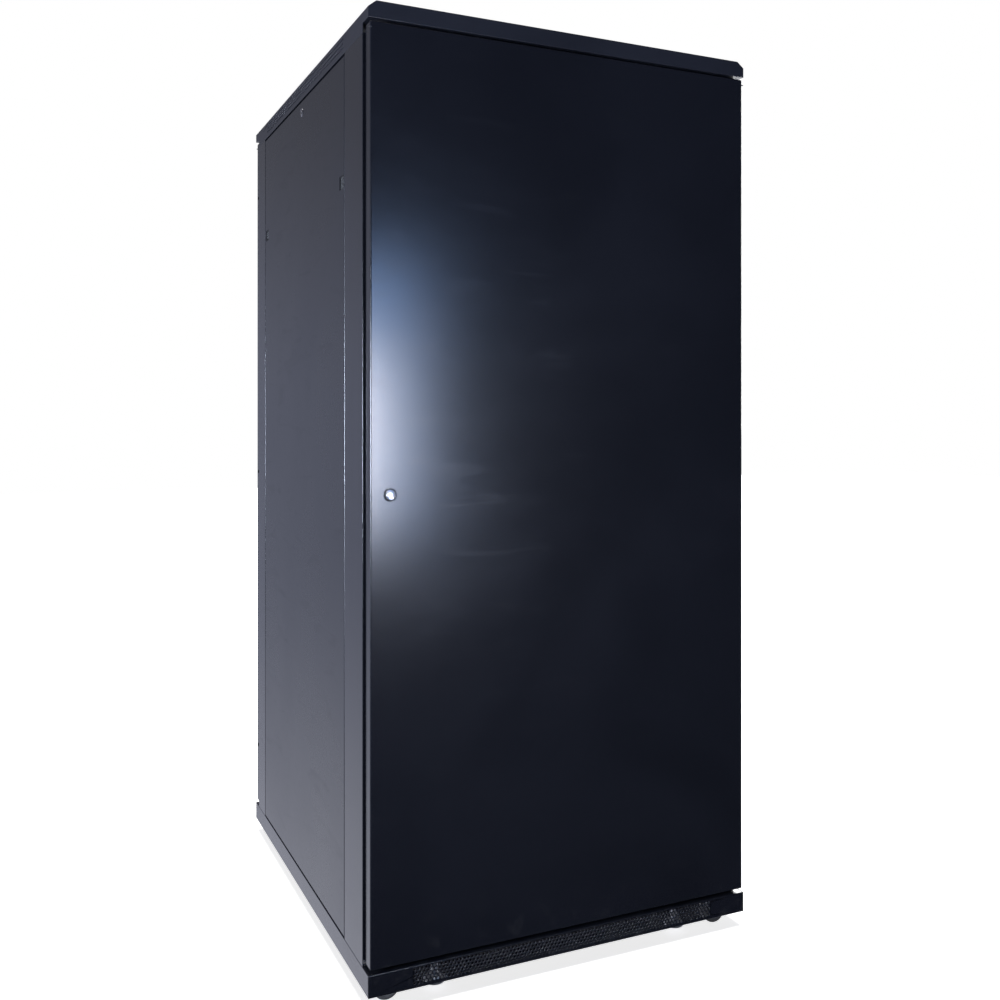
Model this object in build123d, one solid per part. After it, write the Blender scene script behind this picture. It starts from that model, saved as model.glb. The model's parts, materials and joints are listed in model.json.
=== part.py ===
from build123d import *
import math
import os

# A 37U floor-standing 19-inch equipment cabinet in folded sheet steel.
# Millimetres. +Z is up, z = 0 is the floor, the origin is under the middle of the cabinet.
# The glazed front door faces -Y, the solid rear door faces +Y.

# ---- overall
width = 800.0
depth = 1000.0
rack_units = 37
unit_height = 44.45
ground_clearance = 30.0
plinth_height = 40.0
beam_height = 22.0
headroom = 22.35
cover_lip = 31.0

# ---- sheet and frame
frame_sheet = 2.0
skin_sheet = 1.5
post_width = 55.0
rear_post_depth = 120.0
front_post_depth = 78.0
beam_width = 30.0
depth_rail_height = 40.0
depth_rail_width = 30.0
bracket_height = 40.0
bracket_foot = 40.0
bracket_screw_place = 24.0

# ---- 19-inch rails
rail_opening = 450.0
rail_flange = 30.0
rail_web = 45.0
rail_ear = 30.0
rail_hole = 9.5
rail_hole_spacing = 465.1
rail_hole_places = (6.35, 22.225, 38.1)
front_rail_setback = 110.0
rear_rail_setback = 170.0

# ---- doors
door_thickness = 30.0
door_inset = 3.6
door_frame_gap = 6.0
door_gap_low = 8.0
door_gap_high = 5.0
door_lip = 12.0
stiffener_width = 40.0
stiffener_depth = 12.0
stiffener_place = 130.0
stiffener_end_gap = 60.0
window_border_side = 96.0
window_border_end = 80.0
glass_thickness = 4.0
glass_overlap = 12.0
glass_clip_length = 20.0
glass_clip_count = 4
glass_clip_thickness = 2.0
glass_clip_foot = 8.0
door_slot_length = 24.0
door_slot_width = 8.0
door_slot_pitch = 34.0
door_slot_columns = (28.0, 60.0)

# ---- door hinges
hinge_edge = 8.4
hinge_setback = 14.0
hinge_pin_radius = 3.0
hinge_pin_reach = 22.0
hinge_arm_width = 10.0
hinge_arm_thickness = 3.0
hinge_bush_size = 12.0
hinge_bush_height = 18.0
hinge_end_distance = 140.0
hinge_foot_height = 40.0
hinge_foot_width = 26.0
hinge_notch_gap = 2.0
hinge_pin_chamfer = 1.0
running_play = 0.05
loose_play = 0.3
cut_margin = 1.0

# ---- door locks
lock_edge = 36.4
lock_flange_radius = 11.85
lock_flange_height = 2.5
lock_barrel_radius = 9.5
lock_barrel_length = 22.0
lock_nut_radius = 13.5
lock_nut_height = 6.0
lock_plug_radius = 7.0
lock_shank_radius = 4.0
cam_width = 12.0
cam_reach = 32.0
cam_thickness = 2.0
cam_behind_flange = 4.0
cam_slot_margin = 7.0
lock_rim_share = 0.4
lock_plug_sink = 0.3
lock_plug_tail = 3.0
lock_shank_tail = 1.0
lock_recess_depth = 1.5
lock_slot_depth = 5.0

# ---- side panels
panel_gap = 2.0
panel_gap_low = 3.0
panel_gap_high = 4.5
panel_return = 18.0
side_lock_drop = 24.0
side_lock_flange_radius = 9.0
side_lock_flange_height = 1.5
side_lock_barrel_radius = 7.5
side_lock_barrel_length = 16.0
side_lock_nut_rim = 3.0
side_lock_nut_height = 4.0
side_lock_plug_sink = 0.2
side_lock_plug_tail = 1.0
side_lock_plug_radius = 5.5
side_lock_shank_radius = 3.0
side_cam_reach = 22.0
side_cam_play = 0.6
keeper_length = 40.0
latch_window_width = 30.0
latch_window_height = 26.0
latch_drop = 237.0
latch_edge_rear = 18.0
latch_edge_front = 27.0
latch_plate_thickness = 3.2
latch_plate_height = 30.0
latch_bolt_width = 8.0
latch_bolt_height = 16.0
latch_travel = 8.0
latch_play = 1.0
latch_guide_height = 3.0
latch_stop_gap = 0.5
latch_plate_length = 26.0
latch_root_lap = 6.0
latch_ridge_count = 3
latch_ridge_start = 6.0
latch_ridge_pitch = 5.0
latch_ridge_depth = 1.2
latch_ridge_half = 1.0
latch_ridge_margin = 5.0

# ---- top cover
skirt_drop = 17.5
cover_slope_width = 15.0
cover_slope_height = 12.0
cover_hem = 20.0
skirt_vent_hole = 4.6
skirt_vent_pitch = 8.0
skirt_vent_rows = 3
skirt_vent_rear = 165.0
skirt_vent_front = 140.0
skirt_vent_top_margin = 8.0

# ---- plinth
plinth_flange = 60.0
plinth_lip = 14.0
plinth_lip_inset = 170.0
plinth_vent_hole = 4.6
plinth_vent_pitch = 7.4
plinth_vent_row_pitch = 6.25
plinth_vent_rows = 5
plinth_vent_side_margin = 81.5
plinth_vent_low = 9.0
gusset_length = 168.0
gusset_width = 98.0
gusset_thickness = 2.5
anchor_hole_radius = 6.5
anchor_from_side = 140.0
anchor_from_end = 85.0

# ---- castors and feet
castor_from_side = 64.0
castor_from_end = 48.0
castor_wheel_radius = 25.0
castor_wheel_width = 20.0
castor_trail = 18.0
castor_plate_size = 60.0
castor_plate_thickness = 2.5
castor_axle_radius = 3.0
castor_king_radius = 4.0
castor_cheek = 2.5
castor_cheek_gap = 1.0
castor_crown = 3.0
castor_crown_gap = 7.5
castor_crown_back = 15.0
castor_crown_front = 17.0
castor_cheek_foot = 8.0
castor_cheek_toe = 4.0
castor_cheek_drop = 7.0
castor_axle_reach = 1.5
castor_ring_radius = 15.0
castor_ring_play = 0.5
castor_head_flange = 2.5
castor_head_height = 2.0
castor_tread_fillet = 3.0
castor_wheel_rim = 7.0
castor_wheel_recess = 2.0
castor_wheel_boss = 3.0
foot_from_side = 140.0
foot_pad_radius = 20.0
foot_pad_height = 8.0
foot_lift = 12.0
foot_stud_radius = 6.0
foot_stud_gap = 0.5
foot_pad_chamfer = 3.0
foot_hex_radius = 10.0
foot_hex_height = 6.0

# ---- cable entries with sliding covers, which are drawn slid open
entry_width = 300.0
entry_length = 100.0
roof_entry_rear_gap = 40.0
floor_entry_rear_gap = 60.0
entry_overlap = 15.0
entry_guide_width = 12.0
entry_guide_height = 6.5
entry_cover_thickness = 1.5
entry_guide_lap = 2.0
entry_grip_half = 40.0
entry_grip_height = 12.0

# ---- roof fans
fan_size = 120.0
fan_height = 25.0
fan_bore_radius = 57.5
fan_place = 80.0
fan_hub_radius = 20.0
fan_blade_tip = 55.5
fan_blade_count = 7
fan_shaft_radius = 2.0
fan_motor_height = 4.0
fan_strut_width = 5.0
fan_guard_thickness = 1.6
fan_tray_sheet = 1.2
fan_tray_half_length = 170.0
fan_tray_half_width = 80.0
fan_tray_drop = 43.5
fan_tray_foot = 12.0
fan_corner_radius = 5.0
fan_screw_inset = 7.5
fan_screw_radius = 2.2
fan_rotor_gap = 0.5
fan_rotor_top_gap = 2.0
fan_blade_root = 4.0
fan_blade_pitch = 35.0
fan_blade_chord = 22.0
fan_blade_thickness = 1.6
fan_guard_rings = (24.0, 35.0, 46.0, 57.0)
fan_guard_ring_holes = (18.0, 32.5, 43.5, 54.5)
fan_guard_bar_half = 78.0
fan_guard_bar_width = 4.0

# ---- fasteners
screw_radius = 3.0
screw_head_radius = 5.0
screw_head_height = 3.0
screw_socket_radius = 2.5
screw_socket_depth = 1.8
stud_radius = 3.0
stud_reach = 16.0
stud_nut_radius = 5.5
stud_nut_height = 4.0

# ---- worked-out levels and planes
half_width = width / 2
half_depth = depth / 2
z_plinth_top = ground_clearance + plinth_height
z_rail_low = z_plinth_top + beam_height
z_rail_high = z_rail_low + rack_units * unit_height
z_lip = z_rail_high + headroom
z_top = z_lip + cover_lip
z_skirt = z_lip - skirt_drop
z_door_low = z_plinth_top + door_gap_low
z_door_high = z_lip - door_gap_high
frame_face = half_depth - door_thickness - door_frame_gap
door_back = half_depth - door_thickness
door_half = half_width - door_inset
post_inner = half_width - post_width
rear_post_front = frame_face - rear_post_depth
front_post_rear = -frame_face + front_post_depth
beam_inner = post_inner + frame_sheet
beam_outer = beam_inner + beam_width
hinge_x = -(door_half - hinge_edge)
hinge_y = half_depth - hinge_setback
lock_x = door_half - lock_edge
lock_z = (z_door_low + z_door_high) / 2
panel_rear = rear_post_front - panel_gap
panel_front = front_post_rear + panel_gap
panel_low = z_plinth_top + panel_gap_low
panel_high = z_skirt - panel_gap_high
side_lock_y = 0.0
side_lock_z = panel_high - side_lock_drop
latch_z = panel_high - latch_drop
castor_x = half_width - castor_from_side
castor_y = half_depth - castor_from_end
foot_x = half_width - foot_from_side
anchor_x = half_width - anchor_from_side
anchor_y = half_depth - anchor_from_end
z_gusset_top = z_plinth_top - frame_sheet
z_gusset_low = z_gusset_top - gusset_thickness
floor_half_width = post_inner
floor_half_depth = frame_face - beam_width
cam_y = frame_face - frame_sheet - cam_behind_flange

x_axis = (1, 0, 0)
y_axis = (0, 1, 0)
z_axis = (0, 0, 1)


# ---- small geometry helpers
def block(low, high):
    """Box between two opposite corners."""
    size = [top - bottom for bottom, top in zip(low, high)]
    return Pos(*low) * Box(*size, align=(Align.MIN, Align.MIN, Align.MIN))


def rod(start, axis, radius, length):
    """Round bar from a point along an axis."""
    bar = Cylinder(radius, length, align=(Align.CENTER, Align.CENTER, Align.MIN))
    return Plane(origin=start, z_dir=axis).location * bar


def rectangle_wire(low, high):
    """Closed rectangle, drawn anticlockwise."""
    corners = [(low[0], low[1]), (high[0], low[1]), (high[0], high[1]), (low[0], high[1])]
    return Wire.make_polygon(corners, close=True)


def round_hole(x, y, radius):
    """Circle to take out of a flat sheet."""
    return Wire.make_circle(radius, Plane(origin=(x, y, 0)))


def slot_hole(x, y, slot_width, slot_length):
    """Upright slot with round ends, to take out of a flat sheet."""
    straight = slot_length - slot_width
    outline = SlotCenterToCenter(straight, slot_width, rotation=90)
    return (Pos(x, y) * outline).wires()[0]


def pierced_sheet(plane, low, high, thickness, holes):
    """Flat rectangular sheet on a plane with its holes taken out."""
    face = Face(rectangle_wire(low, high), holes)
    return plane.location * extrude(face, amount=thickness)


def rear_plane(y):
    """Drawing plane with world X and Z, whose material goes towards -Y."""
    return Plane(origin=(0, y, 0), x_dir=x_axis, z_dir=(0, -1, 0))


def side_plane(x):
    """Drawing plane with world Y and Z, whose material goes towards +X."""
    return Plane(origin=(x, 0, 0), x_dir=y_axis, z_dir=x_axis)


def flat_plane(z):
    """Drawing plane with world X and Y, whose material goes up."""
    return Plane(origin=(0, 0, z))


def left_of(shape):
    """The same piece on the -X side."""
    return mirror(shape, about=Plane.YZ)


def front_of(shape):
    """The same piece turned half round the upright axis, to the -Y side."""
    return Rot(0, 0, 180) * shape


def both_sides(shape):
    return [shape, left_of(shape)]


def four_corners(shape):
    """One piece at each corner, mirrored from the +X +Y one."""
    pair = both_sides(shape)
    return pair + [mirror(each, about=Plane.XZ) for each in pair]


def staggered_rows(low, high, pitch, rows, first_level, row_pitch):
    """Centres of staggered rows of vent holes between two ends."""
    centres = []
    for row in range(rows):
        start = low + pitch / 2 * (1 + row % 2)
        count = int((high - start - pitch / 4) / pitch) + 1
        for column in range(count):
            centres.append((start + column * pitch, first_level + row * row_pitch))
    return centres


# ---- plinth
def plinth_end():
    """Rear or front plinth channel: vented face, top flange, short bottom lip."""
    vent_half = half_width - plinth_vent_side_margin
    centres = staggered_rows(
        -vent_half, vent_half, plinth_vent_pitch, plinth_vent_rows,
        ground_clearance + plinth_vent_low, plinth_vent_row_pitch,
    )
    holes = [round_hole(x, z, plinth_vent_hole / 2) for x, z in centres]
    face = pierced_sheet(
        rear_plane(half_depth), (-half_width, ground_clearance),
        (half_width, z_plinth_top), frame_sheet, holes,
    )
    back = half_depth - frame_sheet
    flange = block(
        (-half_width + frame_sheet, back - plinth_flange, z_gusset_top),
        (half_width - frame_sheet, back, z_plinth_top),
    )
    for side in (-1, 1):
        flange -= rod((side * foot_x, castor_y, z_gusset_top), z_axis,
                      foot_stud_radius + loose_play, frame_sheet)
    lip_half = half_width - plinth_lip_inset
    lip = block(
        (-lip_half, back - plinth_lip, ground_clearance),
        (lip_half, back, ground_clearance + frame_sheet),
    )
    return face + flange + lip


def plinth_side():
    """Plain side channel between the two vented ends."""
    reach = half_depth - frame_sheet
    wall = block(
        (half_width - frame_sheet, -reach, ground_clearance),
        (half_width, reach, z_plinth_top),
    )
    flange_reach = reach - plinth_flange
    flange = block(
        (half_width - frame_sheet - plinth_flange, -flange_reach, z_gusset_top),
        (half_width - frame_sheet, flange_reach, z_plinth_top),
    )
    return wall + flange


def corner_gusset():
    """Plate under the plinth flange that carries a castor, a foot and an anchor hole."""
    outer_x = half_width - frame_sheet
    outer_y = half_depth - frame_sheet
    plate = block(
        (outer_x - gusset_length, outer_y - gusset_width, z_gusset_low),
        (outer_x, outer_y, z_gusset_top),
    )
    plate -= rod((foot_x, castor_y, z_gusset_low), z_axis,
                 foot_stud_radius + running_play, gusset_thickness)
    plate -= rod((anchor_x, anchor_y, z_gusset_low), z_axis,
                 anchor_hole_radius, gusset_thickness)
    return plate


# ---- castors and feet, drawn at the +X +Y corner
def castor_plate():
    """Top plate, race ring and king pin with its riveted head."""
    z_low = z_gusset_low - castor_plate_thickness
    half = castor_plate_size / 2
    plate = block(
        (castor_x - half, castor_y - half, z_low),
        (castor_x + half, castor_y + half, z_gusset_low),
    )
    ring_low = crown_top() + castor_ring_play
    ring = rod((castor_x, castor_y, ring_low), z_axis, castor_ring_radius, z_low - ring_low)
    head_top = crown_top() - castor_crown - loose_play
    pin = rod((castor_x, castor_y, head_top), z_axis, castor_king_radius, ring_low - head_top)
    head = rod((castor_x, castor_y, head_top - castor_head_height), z_axis,
               castor_king_radius + castor_head_flange, castor_head_height)
    return plate + ring + pin + head


def crown_top():
    """Upper face of the fork crown, above the wheel."""
    return 2 * castor_wheel_radius + castor_crown_gap


def castor_fork():
    """Fork of two cheeks and a crown, turning on the king pin."""
    inner = castor_wheel_width / 2 + castor_cheek_gap
    outer = inner + castor_cheek
    top = crown_top()
    axle_x = castor_x + castor_trail
    axle_z = castor_wheel_radius
    crown = block(
        (castor_x - castor_crown_back, castor_y - outer, top - castor_crown),
        (castor_x + castor_crown_front, castor_y + outer, top),
    )
    crown -= rod((castor_x, castor_y, top - castor_crown), z_axis,
                 castor_king_radius + running_play, castor_crown)
    cheek_outline = Wire.make_polygon(
        [
            (castor_x - castor_crown_back, top - castor_crown),
            (axle_x - castor_cheek_foot, axle_z),
            (axle_x - castor_cheek_toe, axle_z - castor_cheek_drop),
            (axle_x + castor_cheek_toe, axle_z - castor_cheek_drop),
            (axle_x + castor_cheek_foot, axle_z),
            (castor_x + castor_crown_front, top - castor_crown),
        ],
        close=True,
    )
    axle_hole = round_hole(axle_x, axle_z, castor_axle_radius)
    cheek = extrude(Face(cheek_outline, [axle_hole]), amount=castor_cheek)
    near = rear_plane(castor_y + outer).location * cheek
    far = rear_plane(castor_y - inner).location * cheek
    return crown + near + far


def castor_axle():
    """Axle riveted through both cheeks."""
    reach = castor_wheel_width / 2 + castor_cheek_gap + castor_cheek + castor_axle_reach
    start = (castor_x + castor_trail, castor_y - reach, castor_wheel_radius)
    return rod(start, y_axis, castor_axle_radius, 2 * reach)


def castor_wheel():
    """Solid wheel with a rounded tread and a bore for the axle."""
    half = castor_wheel_width / 2
    centre = (castor_x + castor_trail, castor_y - half, castor_wheel_radius)
    tyre = rod(centre, y_axis, castor_wheel_radius, castor_wheel_width)
    tyre = fillet(tyre.edges().filter_by(GeomType.CIRCLE), castor_tread_fillet)
    far_centre = (centre[0], castor_y + half - castor_wheel_recess, centre[2])
    for start in (centre, far_centre):
        recess = rod(start, y_axis, castor_wheel_radius - castor_wheel_rim, castor_wheel_recess)
        boss = rod(start, y_axis, castor_axle_radius + castor_wheel_boss, castor_wheel_recess)
        tyre -= recess - boss
    return tyre - rod(centre, y_axis, castor_axle_radius + running_play, castor_wheel_width)


def levelling_foot():
    """Hexagon-topped pad on a threaded stud, raised clear of the floor."""
    pad = rod((foot_x, castor_y, foot_lift), z_axis, foot_pad_radius, foot_pad_height)
    pad = chamfer(pad.edges().group_by(Axis.Z)[-1], foot_pad_chamfer)
    hexagon = extrude(RegularPolygon(foot_hex_radius, 6), amount=foot_hex_height)
    hexagon = Pos(foot_x, castor_y, foot_lift + foot_pad_height) * hexagon
    stud_low = foot_lift + foot_pad_height + foot_hex_height
    stud_high = z_plinth_top - foot_stud_gap
    stud = rod((foot_x, castor_y, stud_low), z_axis, foot_stud_radius, stud_high - stud_low)
    return pad + hexagon + stud


# ---- welded frame
def corner_post(y_low, y_high, slot_face):
    """Folded channel post, open towards the middle of the cabinet."""
    outer = block((post_inner, y_low, z_plinth_top), (half_width, y_high, z_skirt))
    hollow = block(
        (post_inner, y_low + frame_sheet, z_plinth_top),
        (half_width - frame_sheet, y_high - frame_sheet, z_skirt),
    )
    post = outer - hollow
    if slot_face is not None:
        post -= block(
            (lock_x - cam_width / 2 - cam_slot_margin, slot_face - frame_sheet,
             lock_z - cam_reach - cam_slot_margin),
            (lock_x + cam_width / 2 + cam_slot_margin, slot_face,
             lock_z + cam_width / 2 + cam_slot_margin),
        )
    return post


def latch_hole(post, lip_low):
    """Hole in a post's inner lip for the side panel's latch bolt."""
    middle = half_width - skin_sheet - latch_plate_thickness - latch_bolt_width / 2
    hole = block(
        (middle - latch_bolt_width / 2 - latch_play, lip_low,
         latch_z - latch_bolt_height / 2 - latch_play),
        (middle + latch_bolt_width / 2 + latch_play, lip_low + frame_sheet,
         latch_z + latch_bolt_height / 2 + latch_play),
    )
    return post - hole


def corner_posts():
    """Four posts; two of them have the door-lock slot."""
    plain_rear = latch_hole(corner_post(rear_post_front, frame_face, None), rear_post_front)
    slotted_rear = latch_hole(corner_post(rear_post_front, frame_face, frame_face), rear_post_front)
    lip_low = front_post_rear - frame_sheet
    plain_front = latch_hole(corner_post(-frame_face, front_post_rear, None), lip_low)
    slotted_front = latch_hole(
        corner_post(-frame_face, front_post_rear, -frame_face + frame_sheet), lip_low)
    return [slotted_rear, left_of(plain_rear), plain_front, left_of(slotted_front)]


def hollow_beam(low, high, along):
    """Rectangular tube between two corners, open at its ends along one axis."""
    inset = [0.0 if axis == along else frame_sheet for axis in range(3)]
    inner_low = [value + shift for value, shift in zip(low, inset)]
    inner_high = [value - shift for value, shift in zip(high, inset)]
    return block(low, high) - block(inner_low, inner_high)


def frame_beams(z_low, z_end_high, z_side_high):
    """Two end beams between the posts and two side beams between the lips."""
    rear = hollow_beam(
        (-post_inner, frame_face - beam_width, z_low), (post_inner, frame_face, z_end_high), 0)
    front = hollow_beam(
        (-post_inner, -frame_face, z_low), (post_inner, -frame_face + beam_width, z_end_high), 0)
    side = hollow_beam(
        (beam_inner, front_post_rear, z_low), (beam_outer, rear_post_front, z_side_high), 1)
    return [rear, front] + both_sides(side)


def depth_rail_levels():
    """Heights of the three pairs of front-to-back rails."""
    low = z_rail_low + 2 * unit_height
    high = z_rail_high - 2 * unit_height
    return [low, (low + high) / 2, high]


def bracket_screw_points(face, direction):
    """Screw places on one rail's brackets: through the ear, and into the depth rail."""
    ear_x = rail_opening / 2 + rail_flange + rail_ear / 2
    ear_y = face + direction * (rail_web + frame_sheet)
    foot_y = ear_y + direction * bracket_screw_place
    places = []
    for level in depth_rail_levels():
        places.append(((ear_x, ear_y, level), (0, -direction, 0)))
        places.append(((beam_inner - frame_sheet, foot_y, level), x_axis))
    return places


front_rail_face = -half_depth + front_rail_setback
rear_rail_face = half_depth - rear_rail_setback
screw_places = (
    bracket_screw_points(front_rail_face, 1) + bracket_screw_points(rear_rail_face, -1)
)


def drilled(shape):
    """Take the bracket screw holes out of a piece on the +X side."""
    for place, axis in screw_places:
        shape -= rod(place, axis, screw_radius, 3 * frame_sheet)
    return shape


def bracket_screws():
    """Pan-head screws with a hexagon socket, on the +X side."""
    screws = []
    for place, axis in screw_places:
        plane = Plane(origin=place, z_dir=axis)
        shank = Cylinder(screw_radius, 3 * frame_sheet,
                         align=(Align.CENTER, Align.CENTER, Align.MIN))
        head = Cylinder(screw_head_radius, screw_head_height,
                        align=(Align.CENTER, Align.CENTER, Align.MAX))
        socket = Pos(0, 0, -screw_head_height) * extrude(
            RegularPolygon(screw_socket_radius, 6), amount=screw_socket_depth)
        screws.append(plane.location * (shank + head - socket))
    return screws


def depth_rail(level):
    """Channel between the front and rear posts, open outwards."""
    half = depth_rail_height / 2
    outer = block(
        (beam_inner, front_post_rear, level - half),
        (beam_inner + depth_rail_width, rear_post_front, level + half),
    )
    hollow = block(
        (beam_inner + frame_sheet, front_post_rear, level - half + frame_sheet),
        (beam_inner + depth_rail_width, rear_post_front, level + half - frame_sheet),
    )
    return drilled(outer - hollow)


def rail_bracket(face, direction, level):
    """Folded bracket from a depth rail to the ear of a 19-inch rail."""
    half = bracket_height / 2
    ear_x = rail_opening / 2 + rail_flange
    near = face + direction * rail_web
    far = near + direction * frame_sheet
    end = far + direction * bracket_foot
    plate = block(
        (ear_x, min(near, far), level - half), (beam_inner, max(near, far), level + half))
    foot = block(
        (beam_inner - frame_sheet, min(near, end), level - half),
        (beam_inner, max(near, end), level + half),
    )
    return drilled(plate + foot)


def rail_hole_levels():
    """Three square holes in each unit, at the standard uneven pitch."""
    levels = []
    for unit in range(rack_units):
        base = z_rail_low + unit * unit_height
        levels += [base + place for place in rail_hole_places]
    return levels


def mounting_rail(face, direction):
    """Folded 19-inch rail with square holes; its web runs inwards from the face."""
    inner = rail_opening / 2
    outer = inner + rail_flange
    centre = rail_hole_spacing / 2
    half = rail_hole / 2
    holes = [
        rectangle_wire((centre - half, level - half), (centre + half, level + half))
        for level in rail_hole_levels()
    ]
    flange_plane = rear_plane(max(face, face + direction * frame_sheet))
    flange = pierced_sheet(
        flange_plane, (inner, z_rail_low), (outer, z_rail_high), frame_sheet, holes)
    end = face + direction * rail_web
    web = block(
        (outer - frame_sheet, min(face, end), z_rail_low), (outer, max(face, end), z_rail_high))
    fold = end - direction * frame_sheet
    ear = block(
        (outer - frame_sheet, min(fold, end), z_rail_low),
        (outer + rail_ear, max(fold, end), z_rail_high),
    )
    return flange + web + drilled(ear)


# ---- cable entries
def entry_guide(z_face, up, y_low, y_high):
    """Grooved strip that a sliding cable cover runs in."""
    inner = entry_width / 2 + entry_overlap
    z_far = z_face + up * entry_guide_height
    strip = block(
        (inner - entry_guide_lap, y_low, min(z_face, z_far)),
        (inner + entry_guide_width, y_high, max(z_face, z_far)),
    )
    groove_near = z_face + up * loose_play
    groove_far = groove_near + up * (entry_cover_thickness + 2 * loose_play)
    groove = block(
        (inner - entry_guide_lap, y_low, min(groove_near, groove_far)),
        (inner + loose_play, y_high, max(groove_near, groove_far)),
    )
    return strip - groove


def entry_cover(z_face, up, y_low, y_high):
    """Sliding plate with a turned-up finger lip at its rear end."""
    half = entry_width / 2 + entry_overlap
    z_near = z_face + up * 2 * loose_play
    z_far = z_near + up * entry_cover_thickness
    plate = block((-half, y_low, min(z_near, z_far)), (half, y_high, max(z_near, z_far)))
    grip_far = z_far + up * entry_grip_height
    grip = block(
        (-entry_grip_half, y_low, min(z_near, grip_far)),
        (entry_grip_half, y_low + entry_cover_thickness, max(z_near, grip_far)),
    )
    return plate + grip


roof_entry_high = floor_half_depth - roof_entry_rear_gap
roof_entry_low = roof_entry_high - entry_length
floor_entry_high = floor_half_depth - floor_entry_rear_gap
floor_entry_low = floor_entry_high - entry_length


def floor_panel():
    """Floor sheet with its cable entry and the four anchor holes."""
    holes = [
        rectangle_wire((-entry_width / 2, floor_entry_low), (entry_width / 2, floor_entry_high))
    ]
    for x in (-anchor_x, anchor_x):
        for y in (-anchor_y, anchor_y):
            holes.append(round_hole(x, y, anchor_hole_radius))
    return pierced_sheet(
        flat_plane(z_plinth_top), (-floor_half_width, -floor_half_depth),
        (floor_half_width, floor_half_depth), skin_sheet, holes,
    )


# ---- top cover
def cover_outline(z_low, inset):
    """Section of the cover: upright sides, a slope along each, and a flat top."""
    slope = cover_slope_width + inset / 4
    points = [
        (-half_width + inset, z_low),
        (half_width - inset, z_low),
        (half_width - inset, z_top - cover_slope_height - inset / 2),
        (half_width - slope, z_top - inset),
        (-half_width + slope, z_top - inset),
        (-half_width + inset, z_top - cover_slope_height - inset / 2),
    ]
    return Face(Wire.make_polygon(points, close=True))


def cover_shell():
    """Folded top with deep side skirts, open underneath."""
    outer = rear_plane(half_depth).location * extrude(cover_outline(z_skirt, 0), amount=depth)
    inner_length = depth - 2 * skin_sheet
    inner = extrude(cover_outline(z_skirt - cut_margin, skin_sheet), amount=inner_length)
    shell = outer - rear_plane(half_depth - skin_sheet).location * inner
    for side in (-1, 1):
        near = side * frame_face
        far = side * (half_depth + cut_margin)
        shell -= block(
            (-half_width - cut_margin, min(near, far), z_skirt - cut_margin),
            (half_width + cut_margin, max(near, far), z_lip),
        )
    return shell


def skirt_vents(shell):
    """Rows of small holes along both deep skirts."""
    first = z_top - cover_slope_height - skirt_vent_top_margin
    first -= (skirt_vent_rows - 1) * skirt_vent_pitch
    centres = staggered_rows(
        -half_depth + skirt_vent_front, half_depth - skirt_vent_rear,
        skirt_vent_pitch, skirt_vent_rows, first, skirt_vent_pitch,
    )
    pins = [
        rod((-half_width - 1.0, y, z), x_axis, skirt_vent_hole / 2, width + 2.0)
        for y, z in centres
    ]
    return shell - pins


def top_cover():
    """Roof cover: shell, hems that rest on the frame, fan and cable openings."""
    shell = skirt_vents(cover_shell())
    side_hem = block(
        (half_width - skin_sheet - cover_hem, -frame_face, z_skirt),
        (half_width - skin_sheet, frame_face, z_skirt + skin_sheet),
    )
    end_hem = block(
        (-half_width + skin_sheet, floor_half_depth, z_lip),
        (half_width - skin_sheet, half_depth - skin_sheet, z_lip + skin_sheet),
    )
    shell += both_sides(side_hem) + [end_hem, front_of(end_hem)]
    openings = [
        rod((side * fan_place, 0, z_top - 2 * skin_sheet), z_axis, fan_bore_radius, 3 * skin_sheet)
        for side in (-1, 1)
    ]
    openings.append(block(
        (-entry_width / 2, roof_entry_low, z_top - 2 * skin_sheet),
        (entry_width / 2, roof_entry_high, z_top + skin_sheet),
    ))
    return shell - openings


# ---- roof fans
z_tray = z_top - skin_sheet - fan_tray_drop
z_fan = z_tray + fan_tray_sheet


def fan_tray():
    """Shallow tray hung under the roof, with a hole under each fan."""
    holes = [round_hole(side * fan_place, 0, fan_bore_radius) for side in (-1, 1)]
    base = pierced_sheet(
        flat_plane(z_tray), (-fan_tray_half_length, -fan_tray_half_width),
        (fan_tray_half_length, fan_tray_half_width), fan_tray_sheet, holes,
    )
    flange = block(
        (fan_tray_half_length - fan_tray_sheet, -fan_tray_half_width, z_tray),
        (fan_tray_half_length, fan_tray_half_width, z_top - skin_sheet),
    )
    foot = block(
        (fan_tray_half_length, -fan_tray_half_width, z_top - skin_sheet - fan_tray_sheet),
        (fan_tray_half_length + fan_tray_foot, fan_tray_half_width, z_top - skin_sheet),
    )
    return base + both_sides(flange) + both_sides(foot)


def fan_housing(x):
    """Square fan frame with four struts and a motor base."""
    half = fan_size / 2
    frame = block((x - half, -half, z_fan), (x + half, half, z_fan + fan_height))
    frame = fillet(frame.edges().filter_by(Axis.Z), fan_corner_radius)
    frame -= rod((x, 0, z_fan), z_axis, fan_bore_radius, fan_height)
    for sx in (-1, 1):
        for sy in (-1, 1):
            place = (x + sx * (half - fan_screw_inset), sy * (half - fan_screw_inset), z_fan)
            frame -= rod(place, z_axis, fan_screw_radius, fan_height)
    strut = block(
        (-fan_bore_radius - 1.0, -fan_strut_width / 2, 0),
        (fan_bore_radius + 1.0, fan_strut_width / 2, 3.0),
    )
    for turn in (45, 135):
        frame += Pos(x, 0, z_fan) * Rot(0, 0, turn) * strut
    frame += rod((x, 0, z_fan), z_axis, fan_hub_radius, fan_motor_height)
    return frame - rod((x, 0, z_fan), z_axis, fan_shaft_radius + running_play, fan_motor_height)


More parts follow.
